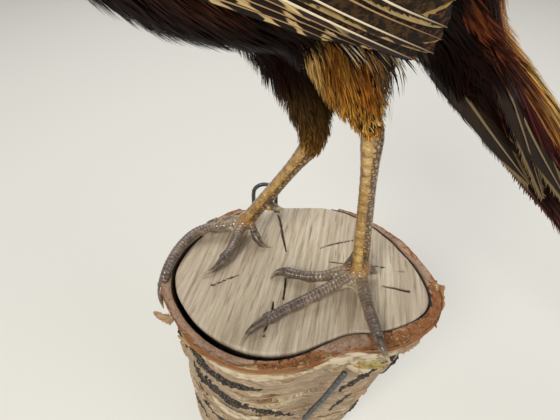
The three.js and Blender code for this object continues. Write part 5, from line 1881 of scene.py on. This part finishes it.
# ---------------------------------------------------------------- ear tufts
# Two small upright tufts of narrow dark green feathers behind the eyes.
EAR_TUFT = [(5, 8.3, 10), (12, 10, 15), (18, 11.5, 18), (22.5, 12.5, 20.5)]
EAR_VANES = 46
for name, hand in SIDES:
    line = smooth_line(in_head([(x, hand * y, z) for x, y, z in EAR_TUFT]), 9)
    tangent = unit(np.gradient(line, axis=0))
    wide = unit(np.cross(tangent, HEAD_ACROSS))
    deep = np.cross(tangent, wide)
    around = 2 * math.pi * rng.random(EAR_VANES)[:, None, None]
    radius = 2.6 * np.sqrt(rng.random(EAR_VANES))[:, None]
    out = wide[None] * np.cos(around) + deep[None] * np.sin(around)
    shorter = 0.62 + 0.38 * rng.random((EAR_VANES, 1, 1))
    radius = radius * (1 - 0.72 * np.linspace(0, 1, len(line)))
    lines = line[:1] + (line[None] - line[:1]) * shorter + out * radius[..., None]
    coat = Coat()
    tint = BOTTLE * 0.8
    coat.lay(lines, unit(out), 0.95, pointed, body_unwrap(lines[:, 0]), tint, tint * 1.5, 2, 0.3, 0.3)
    piece = coat.piece(f"ear_tuft_{name}_feathers", "plumage_green", f"ear_tuft_{name}")
    feathered(f"ear tuft {name}", piece, 0.36, 0.4)

# ---------------------------------------------------------------- floor, lights and camera
# Plain: a pale floor under the mount, one soft key from the left front, a fill and a light overhead.
FLOOR_Z = -0.146
bm = bmesh.new()
bmesh.ops.create_grid(bm, x_segments=1, y_segments=1, size=6)
bmesh.ops.translate(bm, verts=bm.verts, vec=(0, 0, FLOOR_Z))
floor = bpy.data.objects.new("floor", bpy.data.meshes.new("floor"))
bm.to_mesh(floor.data)
bm.free()
bpy.context.scene.collection.objects.link(floor)
Nodes("pale floor", Base_Color=(0.76, 0.745, 0.69), Roughness=0.9).finish(floor)


def soft_light(name, at, toward, size, watts, colour):
    data = bpy.data.lights.new(name, "AREA")
    data.shape = "DISK"
    data.size = size
    data.energy = watts
    data.color = colour
    lamp = bpy.data.objects.new(name, data)
    lamp.location = at
    lamp.rotation_euler = (Vector(toward) - Vector(at)).to_track_quat("-Z", "Y").to_euler()
    bpy.context.scene.collection.objects.link(lamp)


soft_light("key", (-0.75, -1.25, 1.15), (0, -0.05, 0.12), 0.5, 15, (1.0, 0.96, 0.9))
soft_light("fill", (1.1, -0.9, 0.7), (0, -0.05, 0.15), 1.0, 5, (0.95, 0.97, 1.0))
soft_light("overhead", (0.1, 0.5, 1.6), (0, 0, 0.1), 1.4, 8, (1, 1, 1))
soft_light("far floor", (0, 1.9, 1.9), (0, 1.7, FLOOR_Z), 2.4, 18, (1, 1, 1))
world = bpy.data.worlds.new("studio")
world.use_nodes = True
sky = world.node_tree.nodes["Background"].inputs
sky["Color"].default_value = (0.95, 0.945, 0.93, 1)
sky["Strength"].default_value = 0.42
bpy.context.scene.world = world
bpy.context.scene.view_settings.view_transform = "Standard"

lens = bpy.data.cameras.new("camera")
lens.sensor_width = 36
FOCAL_PIXELS, IMAGE_WIDTH = 430, 560
lens.lens = lens.sensor_width * FOCAL_PIXELS / IMAGE_WIDTH
lens.clip_start = 0.01
camera = bpy.data.objects.new("camera", lens)
camera.location = (-0.0076, -0.1867, 0.2094)
camera.rotation_euler = (math.radians(90 - 35), 0, 0)
bpy.context.scene.collection.objects.link(camera)
bpy.context.scene.camera = camera
